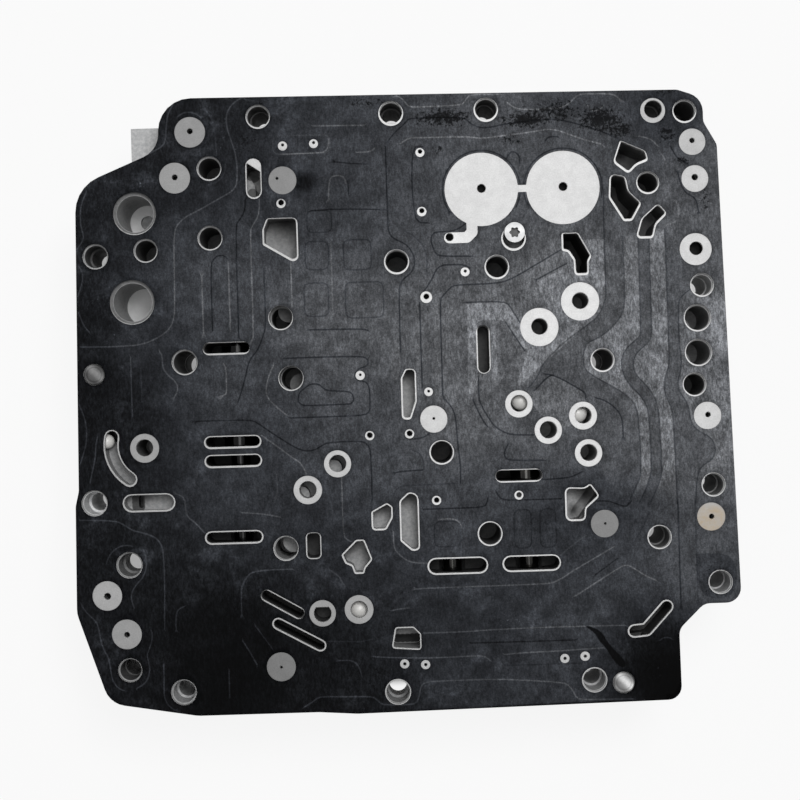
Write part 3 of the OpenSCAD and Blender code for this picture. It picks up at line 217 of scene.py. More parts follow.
# Dark rounded boxes pressed into the rubber, and pale ones round pads: left, right, front, back.
DARK_BOXES = [
    (-34, -25.5, 49, 59.3), (-20, -10, 48.5, 59.5), (-34.8, -26, 32, 44.2), (-19.8, -6, 31, 44),
    (-33, -24, 62.5, 70.5), (9.9, 19.5, -53.2, -44), (39, 45.2, -54.5, -40.5), (48.4, 54.2, -54.5, -40.5)]
PALE_BOXES = [(-44.6, -23.8, 91.4, 98), (-46, -39.2, 71.6, 77)]

# Dark arcs round the two large discs: centre, radius, first and last angle.
ARCS = [(30.8, 76.4, 14.2, -28, 215), (60.5, 76.2, 14.3, -15, 205)]

# Edges of the bands on the right, between the walls of the case's channels, from left to right.
BAND_EDGES = [
    [(75.3, 75), (74.8, 60), (75, 38), (74.5, 34), (72, 29), (68, 26), (65, 24), (60, 20.5), (56, 17),
     (53, 14), (51, 12), (49.5, 8), (46, 4)],
    [(81.8, 57), (81.8, 38), (81.7, 34), (81, 30), (79, 27), (76, 24), (73, 21.8), (70, 20.3), (68, 19.5),
     (66.8, 18), (66, 15), (66, 12), (66.8, 9.5), (68.5, 8), (72, 5.8), (76, 3.5), (80, 1), (82.5, -1),
     (84.3, -3.5), (85.3, -7), (85.7, -15), (85.9, -25), (85.5, -30), (84, -33), (82, -37), (80.5, -40)],
    [(87.2, 57), (87.2, 23), (86.7, 21), (84, 19), (81.8, 17), (80.2, 14.5), (79.7, 12), (80, 9), (81, 6),
     (83, 3), (85.5, 0.5), (87.5, -2), (88.8, -5), (89.3, -10), (89.5, -20), (89.6, -26), (89, -30),
     (87.5, -34), (85, -39)],
    [(91.2, 57), (91.3, 23), (90.8, 20), (89, 18), (86, 15.8), (84.6, 13.5), (84, 11), (84.5, 8.5), (86, 6),
     (89, 3), (91, 0), (92.3, -3), (93, -8), (93.3, -20), (93.5, -27), (92.8, -31), (91.5, -34), (89, -39)],
    [(97, 60), (97.2, 15), (97, 10), (95.5, 6), (95, 3), (95.3, 0), (96.5, -3), (97.6, -5.5), (98, -10),
     (98.3, -20), (98.6, -40)],
    [(106, 38), (102, 35), (101.2, 33), (101, 18), (101.8, 12), (101.3, 8), (100.3, 5), (100.2, 2),
     (101, 0), (102.5, -2), (103.8, -5), (104.2, -9), (105, -11.5), (107, -13.8), (110, -15.3), (112, -17),
     (113.2, -20), (112.7, -23), (111, -25), (108.5, -26.3), (107, -28), (106.2, -31), (105.6, -35),
     (105.3, -40)]]
# Grey of each band between two neighbouring edges.
BAND_GREYS = [0.3, 0.42, 0.29, 0.42, 0.285]

# Patches of rubber that are paler or darker than what is round them: outline in mm, and grey.
PATCHES = [
    ([(24.1, 2), (24.1, 34.3), (25.2, 35.4), (38.4, 35.4), (39.4, 34.6), (44, 26.4), (45.5, 17.5),
      (44.8, 17.2), (38.2, 27.8), (36.5, 28.8), (28.4, 28.8), (27.6, 28), (27.6, 2)], 0.45),
    ([(32.6, 4), (32.6, 28.8), (34.6, 28.8), (34.6, 4)], 0.42),
    ([(74.8, 57), (74.8, 40), (73, 37.5), (66.2, 27), (65.6, 24), (52.6, 13.4), (46.4, 8), (43, 4.3),
      (41.2, 5.5), (46, 16.5), (45, 18), (47.5, 30), (53.8, 32.6), (49.7, 41.2), (50.4, 42), (62.8, 48.3),
      (63, 57)], 0.445), ([(-4, 8), (-4, 23), (-0.6, 23), (-0.6, 8)], 0.345),
    ([(5.2, 2), (5.2, 38), (7.1, 38), (7.1, 2)], 0.345),
    ([(11.8, 2), (11.8, 38), (14.4, 38), (14.4, 2)], 0.35),
    ([(45, 1), (48, 2.8), (53, 7.4), (55, 8), (66, 2), (66.3, -2), (60, -13), (50, -7)], 0.375),
    ([(104.6, -58.5), (119.4, -58.5), (119.4, -75), (105.5, -75)], 0.2),
    ([(63.5, -83.2), (66.5, -84), (69.8, -86), (70.6, -87.6), (73, -91.5), (76, -94.4), (78.3, -97.5),
      (77.5, -99.5), (75, -98), (73, -95), (70.6, -91.2), (68.4, -88.8), (67.5, -86.5), (65, -84.6)], 0.02)]

# Grey of the rubber over the plate, from wear and partly from painted light that makes it darker to the left
# and paler to the right: place and reach in mm, and the grey.
WEAR_AND_LIGHT = [
    (-85, 90, 45, 0.115), (-95, 10, 42, 0.085), (-100, -70, 42, 0.095), (-70, 45, 28, 0.305),
    (-66, -27, 30, 0.21), (-35, -98, 34, 0.085), (-30, -55, 30, 0.16), (-20, 85, 35, 0.212),
    (-20, 30, 30, 0.315), (-15, -15, 28, 0.26), (25, 30, 25, 0.345), (20, 75, 35, 0.28),
    (20, -38, 28, 0.24), (20, -80, 32, 0.165), (60, 38, 20, 0.4), (55, -14, 20, 0.31), (62, -45, 22, 0.17),
    (68, -74, 26, 0.23), (52, -98, 26, 0.19), (88, -95, 18, 0.0), (94, 102, 14, 0.13), (66, 110, 12, 0.18),
    (-70, 8, 20, 0.315), (-97, 24, 9, 0.24), (70, 95, 35, 0.28), (112, 62, 28, 0.31), (114, 0, 25, 0.38),
    (118, 26, 9, 0.52), (20, -10, 18, 0.35), (-62, -90, 26, 0.012), (108, -62, 24, 0.275)]

# Oil left on the rubber: place, reach and grey.
OIL = [(-33.5, 81, 5, 0.06), (-77, -83, 12, 0.06)]

# Dark soil in fine specks, and pale dust: place, reach along X and Y, and amount.
SOIL = [
    (48, 101.5, 11, 4, 1.0), (59, 104, 12, 5, 0.8), (75, 100.5, 10, 6, 1.0), (82, 96.5, 6, 3.5, 0.9),
    (99, 94.5, 4.5, 4, 0.9), (98, 110, 6, 2.5, 0.7), (104.5, 85, 3.5, 3, 0.8), (42, 94.3, 6, 2.2, 0.8),
    (18, 103, 13, 4, 0.95), (15.5, 91.5, 2.6, 2, 0.9), (-10, 109.5, 10, 2.5, 0.7), (-54, 97, 5, 8, 0.6),
    (-50, 110, 8, 3, 0.5), (112, 70, 3, 6, 0.7), (112, -69, 8, 8, 0.6), (88, -99, 8, 9, 0.7),
    (-2, -70, 4, 4, 0.5), (-12, -98, 6, 6, 0.5), (-105, -60, 14, 14, 0.35), (-80, -85, 12, 12, 0.35),
    (-100, 85, 14, 12, 0.35), (-108, 5, 10, 14, 0.35)]
DUST = [
    (-93, 82, 4, 3, 0.9), (-111, 40, 4, 3, 0.8), (-110, 76, 5, 5, 0.5), (-100, 27, 14, 4, 0.6),
    (-84, 60, 5, 16, 0.4), (-109, -84, 7, 12, 0.5), (-85, -46, 10, 8, 0.4), (35, -80, 12, 6, 0.5),
    (12, -75, 8, 4, 0.4), (90, -100, 7, 8, 0.5), (-62, 100, 8, 10, 0.5), (-76, 14, 12, 10, 0.4),
    (-20, -110, 16, 3, 0.4)]

# Half the width of a pressed line, and how far it stands out or in, all in mm.
LINE_HALF = 0.42
LINE_LIFT = 0.07
SHALLOW = 0.03
BOX_DEPTH = 0.04
# Spacing of the points between the lines, how far they keep off, and the border of a worn patch, in mm.
MESH_STEP = 2.4
MESH_CLEAR = 0.9
PATCH_BORDER = 0.2
# How fast wear and oil fade with distance, how fully a band takes its grey, and where it fades at the front.
WEAR_FADE = 0.72
OIL_FADE = 0.6
BAND_SHARE = 0.8
BAND_FRONT = -40
BAND_FADE = 14
# Darkest and palest grey of a line.
LINE_GREYS = (0.03, 0.8)
# Smallest sum of wear, far from every worn place.
UNWORN = 1e-6
# Keeps a division from zero.
TINY = 1e-12


def smooth_path(points, step=1.3):
    """Points about step apart along a line, with its corners cut twice so that they are round."""
    p = np.array(points, float)
    for _ in range(2):
        if len(p) > 2:
            cut = np.empty((2 * len(p) - 2, 2))
            cut[0::2] = 0.75 * p[:-1] + 0.25 * p[1:]
            cut[1::2] = 0.25 * p[:-1] + 0.75 * p[1:]
            p = np.vstack([p[:1], cut[1:-1], p[-1:]])
    length = np.concatenate([[0], np.cumsum(np.linalg.norm(np.diff(p, axis=0), axis=1))])
    count = max(2, int(length[-1] / step) + 1)
    s = np.linspace(0, length[-1], count)
    return np.stack([np.interp(s, length, p[:, 0]), np.interp(s, length, p[:, 1])], 1)


def rounded_box(left, right, front, back, r=1.8):
    """A closed path round a box with rounded corners."""
    path = []
    for k, (x, y) in enumerate(((right - r, back - r), (left + r, back - r), (left + r, front + r),
                                (right - r, front + r), (right - r, back - r))):
        turn = math.pi / 2 * (k % 4)
        corner = np.linspace(turn, turn + math.pi / 2, 4)
        path += [(x + r * math.cos(a), y + r * math.sin(a)) for a in corner]
    return path[:-3]


def arc(x, y, r, first, last, step=6):
    """Points on an arc, from its first angle to its last in degrees."""
    return [(x + r * math.cos(a), y + r * math.sin(a)) for a in np.radians(np.arange(first, last, step))]


def unit_rows(v):
    """Rows of v, each with a length of one."""
    return v / (np.linalg.norm(v, axis=1)[:, None] + TINY)


def beside(path, d):
    """The same path moved d to its left."""
    along = unit_rows(np.gradient(path, axis=0))
    return path + d * np.stack([-along[:, 1], along[:, 0]], 1)


def distance(points, path):
    """Distance of each point from a path."""
    best = np.full(len(points), np.inf)
    for start, span in zip(path[:-1], np.diff(path, axis=0)):
        away = points - start
        share = np.clip(away @ span / (span @ span + TINY), 0, 1)
        off = away - share[:, None] * span
        best = np.minimum(best, np.hypot(off[:, 0], off[:, 1]))
    return best


def near(points, path, reach):
    """Indices of the points inside a path's box, grown by reach."""
    lo, hi = path.min(0) - reach, path.max(0) + reach
    return np.nonzero(((points > lo) & (points < hi)).all(1))[0]


def inside(points, ring):
    """Which points lie inside a closed ring."""
    result = np.zeros(len(points), bool)
    for a, b in zip(ring, np.roll(ring, -1, axis=0)):
        crosses = (a[1] > points[:, 1]) != (b[1] > points[:, 1])
        x = a[0] + (points[:, 1] - a[1]) * (b[0] - a[0]) / (b[1] - a[1] + TINY)
        result ^= crosses & (points[:, 0] < x)
    return result


# Points this close to the top are on it, and points this close to each other are one, in mm.
LEVEL = 0.01
SAME_POINT = 0.001
# Height of a row of even triangles, as a share of their sides.
ROW = 0.87


def rims_of(node):
    """Closed loops round a CAD node's flat top, in mm, the outer one first, with material on their left."""
    mesh = nodes[node].data
    mesh.calc_loop_triangles()
    co = np.array([v.co for v in mesh.vertices]) / MM
    level = co[:, 2].max()
    key = {}
    number = [key.setdefault((round(c[0], 3), round(c[1], 3)), len(key)) for c in co]
    flat = np.array(list(key), float)
    edges = set()
    for t in mesh.loop_triangles:
        if all(level - co[i][2] < LEVEL for i in t.vertices):
            a, b, c = (number[i] for i in t.vertices)
            edges |= {(a, b), (b, c), (c, a)}
    follow = {a: b for a, b in edges if (b, a) not in edges}
    loops = []
    while follow:
        first, at = follow.popitem()
        loop = [first]
        while at != first:
            loop.append(at)
            at = follow.pop(at)
        loops.append(flat[loop])
    return sorted(loops, key=lambda p: -np.ptp(p[:, 0]))


def fill(loops, strips, spacing=None):
    """Triangles between an outer loop and the loops inside it, with edges along every strip.
    Gives the points, the faces and the points' numbers in the loops, -1 for the others."""
    points, rings, links = [], [], []
    for k, loop in enumerate(loops):
        ring = list(range(len(points), len(points) + len(loop)))
        rings.append(ring[::-1] if k else ring)
        points += [tuple(p) for p in loop]
    on_loops = len(points)
    for strip in strips:
        links += [(i, i + 1) for i in range(len(points), len(points) + len(strip) - 1)]
        points += [tuple(p) for p in strip]
    if spacing:
        crowd = kdtree.KDTree(len(points))
        for i, p in enumerate(points):
            crowd.insert((p[0], p[1], 0), i)
        crowd.balance()
        (x0, y0), (x1, y1) = loops[0].min(0), loops[0].max(0)
        for j, y in enumerate(np.arange(y0, y1, spacing * ROW)):
            for x in np.arange(x0 + spacing / 2 * (j % 2), x1, spacing):
                if crowd.find((x, y, 0))[2] > MESH_CLEAR:
                    points.append((x, y))
    place, _, faces, came_from, _, in_rings = geometry.delaunay_2d_cdt(
        [Vector(p) for p in points], links, rings, 0, SAME_POINT)
    faces = [f for f, ids in zip(faces, in_rings) if set(ids) == {0}]
    used = sorted({i for f in faces for i in f})
    order = {v: i for i, v in enumerate(used)}
    number = [next((k for k in came_from[i] if k < on_loops), -1) for i in used]
    faces = [tuple(order[i] for i in f) for f in faces]
    return np.array([place[i][:] for i in used]), faces, np.array(number)


def new_piece(name, node, levels, faces, tones):
    """A closed piece from stacked levels of the same points: the first has the faces, the last their backs.
    Tones are the values that each point keeps for the material, by name."""
    n = len(levels[0])
    directed = {(f[i], f[(i + 1) % 3]) for f in faces for i in range(3)}
    border = [(a, b) for a, b in directed if (b, a) not in directed]
    deep = n * (len(levels) - 1)
    walls = [(b + k, a + k, a + k + n, b + k + n) for a, b in border for k in range(0, deep, n)]
    every = np.vstack(levels) * MM
    shapes = faces + [tuple(i + deep for i in reversed(f)) for f in faces] + walls
    used = sorted({i for f in shapes for i in f})
    order = {v: i for i, v in enumerate(used)}
    mesh = bpy.data.meshes.new(name)
    mesh.from_pydata(every[used].tolist(), [], [[order[i] for i in f] for f in shapes])
    for tone, values in tones.items():
        layer = mesh.attributes.new(tone, "FLOAT", "POINT")
        layer.data.foreach_set("value", np.tile(values, len(levels))[used].astype(np.float32))
    mesh.validate()
    made = bpy.data.objects.new(name, mesh)
    bpy.context.scene.collection.objects.link(made)
    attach(made, "valve_body")
    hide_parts(node)
    return made


def coating_greys(points, lines, bands):
    """Grey and lift of the rubber at each point."""
    total = np.zeros(len(points))
    weight = np.zeros(len(points))
    for x, y, reach, grey in WEAR_AND_LIGHT:
        share = np.exp(-((points[:, 0] - x) ** 2 + (points[:, 1] - y) ** 2) / (WEAR_FADE * reach * reach))
        total += share * grey
        weight += share
    grey = total / (weight + UNWORN)
    for ring, band_grey in bands:
        where = near(points, ring, 0)
        where = where[inside(points[where], ring)]
        fade = np.clip((points[where, 1] - BAND_FRONT) / BAND_FADE, 0, 1) if ring[:, 1].max() > 0 else 1
        grey[where] += BAND_SHARE * fade * (band_grey - grey[where])
    for x, y, reach, oil in OIL:
        share = np.exp(-((points[:, 0] - x) ** 2 + (points[:, 1] - y) ** 2) / (OIL_FADE * reach * reach))
        grey += share * (oil - grey)
    lift = np.zeros(len(points))
    for path, gain, more, rise in lines:
        where = near(points, path, LINE_HALF)
        if len(where):
            share = np.clip(1 - distance(points[where], path) / LINE_HALF, 0, 1)
            target = np.clip(grey[where] * gain + more, *LINE_GREYS)
            grey[where] += share * (target - grey[where])
            lift[where] += share * (rise - lift[where])
    return grey, lift


def amount(points, spots):
    """How much of a soil or dust lies at each point, from 0 to 1."""
    most = np.zeros(len(points))
    for x, y, rx, ry, much in spots:
        share = np.exp(-((points[:, 0] - x) / rx) ** 2 - ((points[:, 1] - y) / ry) ** 2)
        most = np.maximum(most, much * share)
    return most


def pressed_lines():
    """Every pressed line as a smooth path, with how it multiplies and adds to the grey, and its lift."""
    groups = [
        (SHADE_LINES, 0.8, 0, -SHALLOW),
        (BAND_EDGES, 0.68, 0, -SHALLOW),
        (DARK_LINES + [arc(*a) for a in ARCS], 0.5, 0, -LINE_LIFT),
        ([rounded_box(*b) for b in DARK_BOXES], 0.72, 0, -BOX_DEPTH),
        (FAINT_LINES + [rounded_box(*b) for b in PALE_BOXES], 1.1, 0.04, SHALLOW),
        (BRIGHT_LINES, 1.15, 0.1, LINE_LIFT)]
    return [(smooth_path(path), gain, more, rise) for group, gain, more, rise in groups for path in group]


def coating():
    """The bonded rubber with its pressed lines as real ridges and grooves."""
    low, high = (v.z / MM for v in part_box("bonded_gasket"))
    lines = pressed_lines()
    edges = [smooth_path(path) for path in BAND_EDGES]
    bands = [(np.vstack([a, b[::-1]]), grey) for a, b, grey in zip(edges, edges[1:], BAND_GREYS)]
    for outline, patch_grey in PATCHES:
        edges.append(smooth_path(outline + outline[:1]))
        bands.append((edges[-1], patch_grey))
    strips = [beside(line[0], d) for line in lines for d in (-LINE_HALF, 0, LINE_HALF)]
    strips += [beside(path, d) for path in edges for d in (-PATCH_BORDER, PATCH_BORDER)]
    place, faces, number = fill(rims_of("bonded_gasket"), strips, MESH_STEP)
    grey, lift = coating_greys(place, lines, bands)
    lift[number >= 0] = 0
    levels = [np.column_stack([place, high + lift]), np.column_stack([place, np.full(len(place), low)])]
    tones = {"grey": grey, "soil": amount(place, SOIL), "dust": amount(place, DUST)}
    made = new_piece("coating", "bonded_gasket", levels, faces, tones)
    for polygon in made.data.polygons[:len(faces)]:
        polygon.use_smooth = True
    return made


# The plate

# Bare discs round an orifice, and round a larger port, with a finish of their own: place, radius and grey.
ORIFICE_DISCS = [
    (-74.6, 100.4, 6, 0.54), (-80.6, 83.9, 6, 0.57), (-41.4, 81.9, 5.5, 0.5), (108, 91.4, 5.2, 0.68),
    (108.6, 78, 5.3, 0.73), (108.1, 52.3, 6.2, 0.78), (110.6, -8.3, 5.4, 0.78), (110.8, -45.1, 5.5, 0.66),
    (72, -46.5, 5.4, 0.49), (-109.7, -67.3, 5.8, 0.64), (-103, -81.5, 5.8, 0.58), (-47.2, -95, 5.6, 0.46),
    (11, -6.6, 5.3, 0.78)]
PORT_DISCS = [
    (30.8, 76.4, 13.8, 0.8), (60.5, 76.2, 13.8, 0.8), (50.4, 25.7, 7.3, 0.83), (65.5, 34.6, 7.3, 0.83),
    (42.1, -2, 5.3, 0.82), (52.5, -11.9, 5.3, 0.83), (65.3, -7, 5.4, 0.83), (66.9, -20.6, 5.3, 0.83),
    (-94.5, -14, 5.6, 0.6), (-35.6, -31, 5.5, 0.72), (-24.5, -21.8, 5.3, 0.74), (-18.3, -75, 5.5, 0.62),
    (-31.6, -76, 5.2, 0.6), (94, 103.2, 5, 0.68)]
DISCS = ORIFICE_DISCS + PORT_DISCS
# Grey of the other bare steel along X, and its share of that along Y.
BARE_AT = [-115, -40, 20, 115]
BARE_GREY = [0.66, 0.77, 0.86, 0.84]
FRONT_AT = [-105, -45]
FRONT_GREY = [0.84, 1]
# Width of the rolled edge, and the heights of its middle and its end below the top as shares of that.
ROLL = 0.22
ROLL_MIDDLE = 0.3
ROLL_END = 1.1
# How much nearer to the opening than halfway the roll's middle is, as a share of its width.
ROLL_BULGE = 0.2
# Points on the ring round a disc, and how far its finish reaches past its radius, in mm.
RING_POINTS = 33
DISC_PAST = 0.1
# The plate's openings sit this far off their windows in the rubber, and spread a little more, in mm.
OFF_WINDOW = np.array([0.03, 0.16])
SPREAD_OFF = np.array([0.0008, 0.0026])
# Round openings with a radius in this range are wider all round than in the CAD, by their place along X,
# and the large ones by one amount, all in mm.
ROUND = (3.4, 9)
WIDER_AT = [-115, -40, 0, 60, 110]
WIDER = [0.42, 0.34, 0.1, 0.12, 0.28]
LARGE_FROM = 6
WIDER_LARGE = 0.55
# A bolt hole that is smaller than its window: its middle in mm, its share of the window and its offset.
SMALL_HOLE = (94, 103.2)
SMALL_SHARE = 0.8
SMALL_OFF = (0.15, 0.5)
# A slot whose opening ends on a slant: its middle in mm, a point on the slant and its slope.
SLANT_SLOT = (-51.9, 82.8)
SLANT_AT = (-54, 88.4)
SLOPE = -0.68
# An orifice this close to the middle of its disc, in mm, keeps its place in the CAD plate.
ORIFICE_NEAR = 3
# An opening whose middle is this close to a given one, in mm, is that opening.
SAME_OPENING = 1


def keeps_place(middle):
    """Whether an opening is one of the orifices that stay where the CAD plate has them."""
    return any(math.hypot(middle[0] - x, middle[1] - y) < ORIFICE_NEAR for x, y, _, _ in ORIFICE_DISCS)


def opening(rim):
    """An opening of the plate where the photo has it, from its rim in the CAD plate."""
    middle = rim.mean(0)
    if keeps_place(middle):
        return rim
    if np.hypot(*(middle - SMALL_HOLE)) < SAME_OPENING:
        return middle + SMALL_SHARE * (rim - middle) + SMALL_OFF
    moved = rim + OFF_WINDOW + SPREAD_OFF * middle
    r = np.hypot(*(rim - middle).T)
    if ROUND[0] < r.min() and r.max() < ROUND[1]:
        wider = WIDER_LARGE if r.min() > LARGE_FROM else np.interp(middle[0], WIDER_AT, WIDER)
        moved = moved + wider * (rim - middle) / r[:, None]
    if np.hypot(*(middle - SLANT_SLOT)) < SAME_OPENING:
        moved[:, 1] = np.minimum(moved[:, 1], SLANT_AT[1] + SLOPE * (moved[:, 0] - SLANT_AT[0]))
    return moved


def plate():
    """The punched steel plate, its openings rolled over at the top by the punch."""
    low, high = (v.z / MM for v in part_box("separator_plate"))
    outer, *rims = rims_of("separator_plate")
    loops = [outer] + [opening(rim) for rim in rims]
    wide = []
    for loop in loops:
        along = unit_rows(np.roll(loop, -1, 0) - loop)
        across = np.stack([-along[:, 1], along[:, 0]], 1)
        wide.append(loop + ROLL * unit_rows(across + np.roll(across, 1, 0)))
    turns = np.linspace(0, 2 * math.pi, RING_POINTS)
    rings = [np.column_stack([x + r * np.cos(turns), y + r * np.sin(turns)]) for x, y, r, _ in DISCS]
    place, faces, number = fill(wide, rings)
    rolled = number >= 0
    edge = place.copy()
    edge[rolled] = np.vstack(loops)[number[rolled]]
    grey = np.interp(place[:, 0], BARE_AT, BARE_GREY) * np.interp(place[:, 1], FRONT_AT, FRONT_GREY)
    for x, y, r, tone in DISCS:
        grey[np.hypot(place[:, 0] - x, place[:, 1] - y) < r + DISC_PAST] = tone
    half = (place + edge) / 2
    half[rolled] += ROLL_BULGE * (edge - place)[rolled]
    heights = [high, high - ROLL_MIDDLE * ROLL, high - ROLL_END * ROLL, low]
    levels = [np.column_stack([at, np.full(len(at), z)]) for at, z in zip((place, half, edge, edge), heights)]
    made = new_piece("plate", "separator_plate", levels, faces, {"grey": grey})
    return made


# Materials

# Greys are written as they look, and this power turns them to the linear values of a shader.
GAMMA = 2.2
# Gain on the rubber, set so that its greys come out as written.
COAT_GAIN = 1.25
# Tone of the rubber on which a pale haze shows, partly painted sheen.
SHEEN_HAZE_TONE = 0.14
# Turn and stretch of the fine fibres that wiping left on the rubber.
FIBRE_TURN = 0.9
FIBRE_STRETCH = 0.4
# Heat stain on one disc: its middle in mm, where it starts and stops fading, and its colour.
STAIN_AT = (110.8, -46.5, 61)
STAIN_FADE = (3, 8)
STAIN = "#ae9d84"


def coating_material():
    """Rubber bonded to steel: matt black, worn paler between the pressed lines and paler to the right with
    painted light, with soil, dust and a haze that is partly painted sheen.
    """
    material, tree, out = new_material("coating_rubber")
    place = add(tree, "TexCoord").outputs["Object"]
    tone, soil, dust = (
        add(tree, "Attribute", attribute_name=name).outputs["Fac"] for name in ("grey", "soil", "dust"))
    turned = add(tree, "Mapping", {
        "Vector": place, "Rotation": (0, 0, FIBRE_TURN), "Scale": (1, FIBRE_STRETCH, 1)}).outputs[0]
    # Each pattern has its size in mm. The grain is drawn coarser than real, so that it shows.
    cloud, fibre, grain, speck, fleck, haze_and_sheen, smear, dents = (
        add(tree, "TexNoise", {"Vector": over, "Scale": 1 / MM / size, "Detail": detail, "Roughness": rough})
        for over, size, detail, rough in (
            (place, 7, 6, 0.68), (turned, 0.8, 4, 0.75), (place, 0.5, 2, 0.6), (place, 1.3, 5, 0.8),
            (place, 1, 5, 0.8), (place, 11, 6, 0.62), (place, 1.1, 4, 0.7), (place, 0.6, 3, 0.6)))
    cloud = add(tree, "MapRange", [cloud, 0.32, 0.68, 0.84, 1.16], **SMOOTH)
    on_pale = add(tree, "MapRange", [tone, 0.26, 0.4, 0.15, 0.27], **SMOOTH)
    on_dark = add(tree, "MapRange", [tone, 0.07, 0.17, 0.25, 0.0], **SMOOTH)
    strength = add(tree, "Math", [on_pale, on_dark], operation="ADD")
    fibre = add(tree, "MapRange", [fibre, 0.3, 0.7, -1, 1], **SMOOTH)
    mottle = add(tree, "Math", [fibre, strength, 1.0], operation="MULTIPLY_ADD")
    grain = add(tree, "MapRange", [grain, 0.3, 0.7, 0.88, 1.12], **SMOOTH)
    worn = tone
    for factor in (cloud, mottle, grain):
        worn = add(tree, "Math", [worn, factor], operation="MULTIPLY")
    # Soil darkens it in specks, which crowd where there is more of it.
    soil = add(tree, "Math", [soil, 0.33, 0.27], operation="MULTIPLY_ADD")
    specks = add(tree, "Math", [soil, speck], operation="SUBTRACT")
    soiled = add(tree, "MapRange", [specks, -0.05, 0.05, 1.0, 0.38], **SMOOTH)
    worn = add(tree, "Math", [worn, soiled], operation="MULTIPLY")
    # Dust lies on it in pale flecks.
    dust = add(tree, "Math", [dust, 0.2, -0.72], operation="MULTIPLY_ADD")
    flecks = add(tree, "Math", [dust, fleck], operation="ADD")
    dusted = add(tree, "MapRange", [flecks, -0.03, 0.09, 0.0, 0.16], **SMOOTH)
    worn = add(tree, "Math", [worn, dusted], operation="ADD")
    # A pale haze, partly painted sheen, shows on rubber of one tone only.
    haze_and_sheen = add(tree, "MapRange", [haze_and_sheen, 0.5, 0.72, 0.0, 0.08], **SMOOTH)
    apart = add(tree, "Math", [tone, SHEEN_HAZE_TONE], operation="SUBTRACT")
    apart = add(tree, "Math", [apart], operation="ABSOLUTE")
    hazy = add(tree, "MapRange", [apart, 0.03, 0.1, 1.0, 0.0], **SMOOTH)
    haze_and_sheen = add(tree, "Math", [haze_and_sheen, hazy], operation="MULTIPLY")
    smear = add(tree, "MapRange", [smear, 0.3, 0.7, 0.3, 1.7], **SMOOTH)
    worn = add(tree, "Math", [haze_and_sheen, smear, worn], operation="MULTIPLY_ADD")
    # The dark rubber is a little bluer than the pale.
    bright = add(tree, "Math", [worn, GAMMA], operation="POWER")
    bright = add(tree, "Math", [bright, COAT_GAIN], operation="MULTIPLY")
    red = add(tree, "MapRange", [tone, 0.15, 0.36, 0.92, 0.965], **SMOOTH)
    blue = add(tree, "MapRange", [tone, 0.15, 0.36, 1.17, 1.07], **SMOOTH)
    red, blue = (add(tree, "Math", [bright, tint], operation="MULTIPLY") for tint in (red, blue))
    colour = add(tree, "CombineColor", [red, bright, blue])
    bump = add(tree, "Bump", {"Strength": 0.25, "Distance": 0.06 * MM, "Height": dents})
    shader = add(tree, "BsdfPrincipled", {
        "Base Color": colour, "Roughness": 0.6, "Specular IOR Level": 0.03, "Normal": bump})
    tree.links.new(shader.outputs[0], out.inputs[0])
    return material


def metal(name, low, high, metallic, rough, size_mm=1.5, bump_mm=0.02, gloss=0.5, spots=()):
    """A metal with a fine cloudy tint and a little surface grain. Each spot [x, y, clear, radius, tone] is an
    upright cylinder, in mm, that changes its colour by the tone, fading out from clear to radius."""
    material, tree, out = new_material(name)
    place = add(tree, "TexCoord").outputs["Object"]
    tint, grain, sheen = (
        add(tree, "TexNoise", {"Vector": place, "Scale": 1 / MM / size, "Detail": detail, "Roughness": 0.6})
        for size, detail in ((size_mm, 4), (size_mm * 0.4, 3), (size_mm * 3, 3)))
    tint = add(tree, "MapRange", [tint, 0.3, 0.7, 0, 1], **SMOOTH)
    colour = add(tree, "Mix", {0: tint, 6: linear(low), 7: linear(high)}, data_type="RGBA").outputs[2]
    if spots:
        flat = add(tree, "VectorMath", [place, (1, 1, 0)], operation="MULTIPLY")
        tone = 1.0
        # The dark spots come first: the darkest counts where they overlap, and the pale ones multiply that.
        for x, y, clear, r, gain in sorted(spots, key=lambda spot: spot[-1]):
            away = add(tree, "VectorMath", [flat, (x * MM, y * MM, 0)], operation="DISTANCE").outputs["Value"]
            spot_tone = add(tree, "MapRange", [away, clear * MM, r * MM, gain, 1.0], **SMOOTH)
            tone = add(tree, "Math", [spot_tone, tone], operation="MINIMUM" if gain < 1 else "MULTIPLY")
        colour = add(tree, "VectorMath", {0: colour, 3: tone}, operation="SCALE")
    bump = add(tree, "Bump", {"Strength": 0.5, "Distance": bump_mm * MM, "Height": grain})
    sheen = add(tree, "MapRange", [sheen, 0.3, 0.7, rough - 0.06, rough + 0.06], **SMOOTH)
    shader = add(tree, "BsdfPrincipled", {
        "Base Color": colour, "Metallic": metallic, "Specular IOR Level": gloss, "Roughness": sheen,
        "Normal": bump})
    tree.links.new(shader.outputs[0], out.inputs[0])
    return material


def plain(name, colour, rough, gloss=0.5):
    """A smooth moulded or rubber surface of one colour."""
    material, tree, out = new_material(name)
    shader = add(tree, "BsdfPrincipled", {
        "Base Color": linear(colour), "Roughness": rough, "Specular IOR Level": gloss})
    tree.links.new(shader.outputs[0], out.inputs[0])
    return material


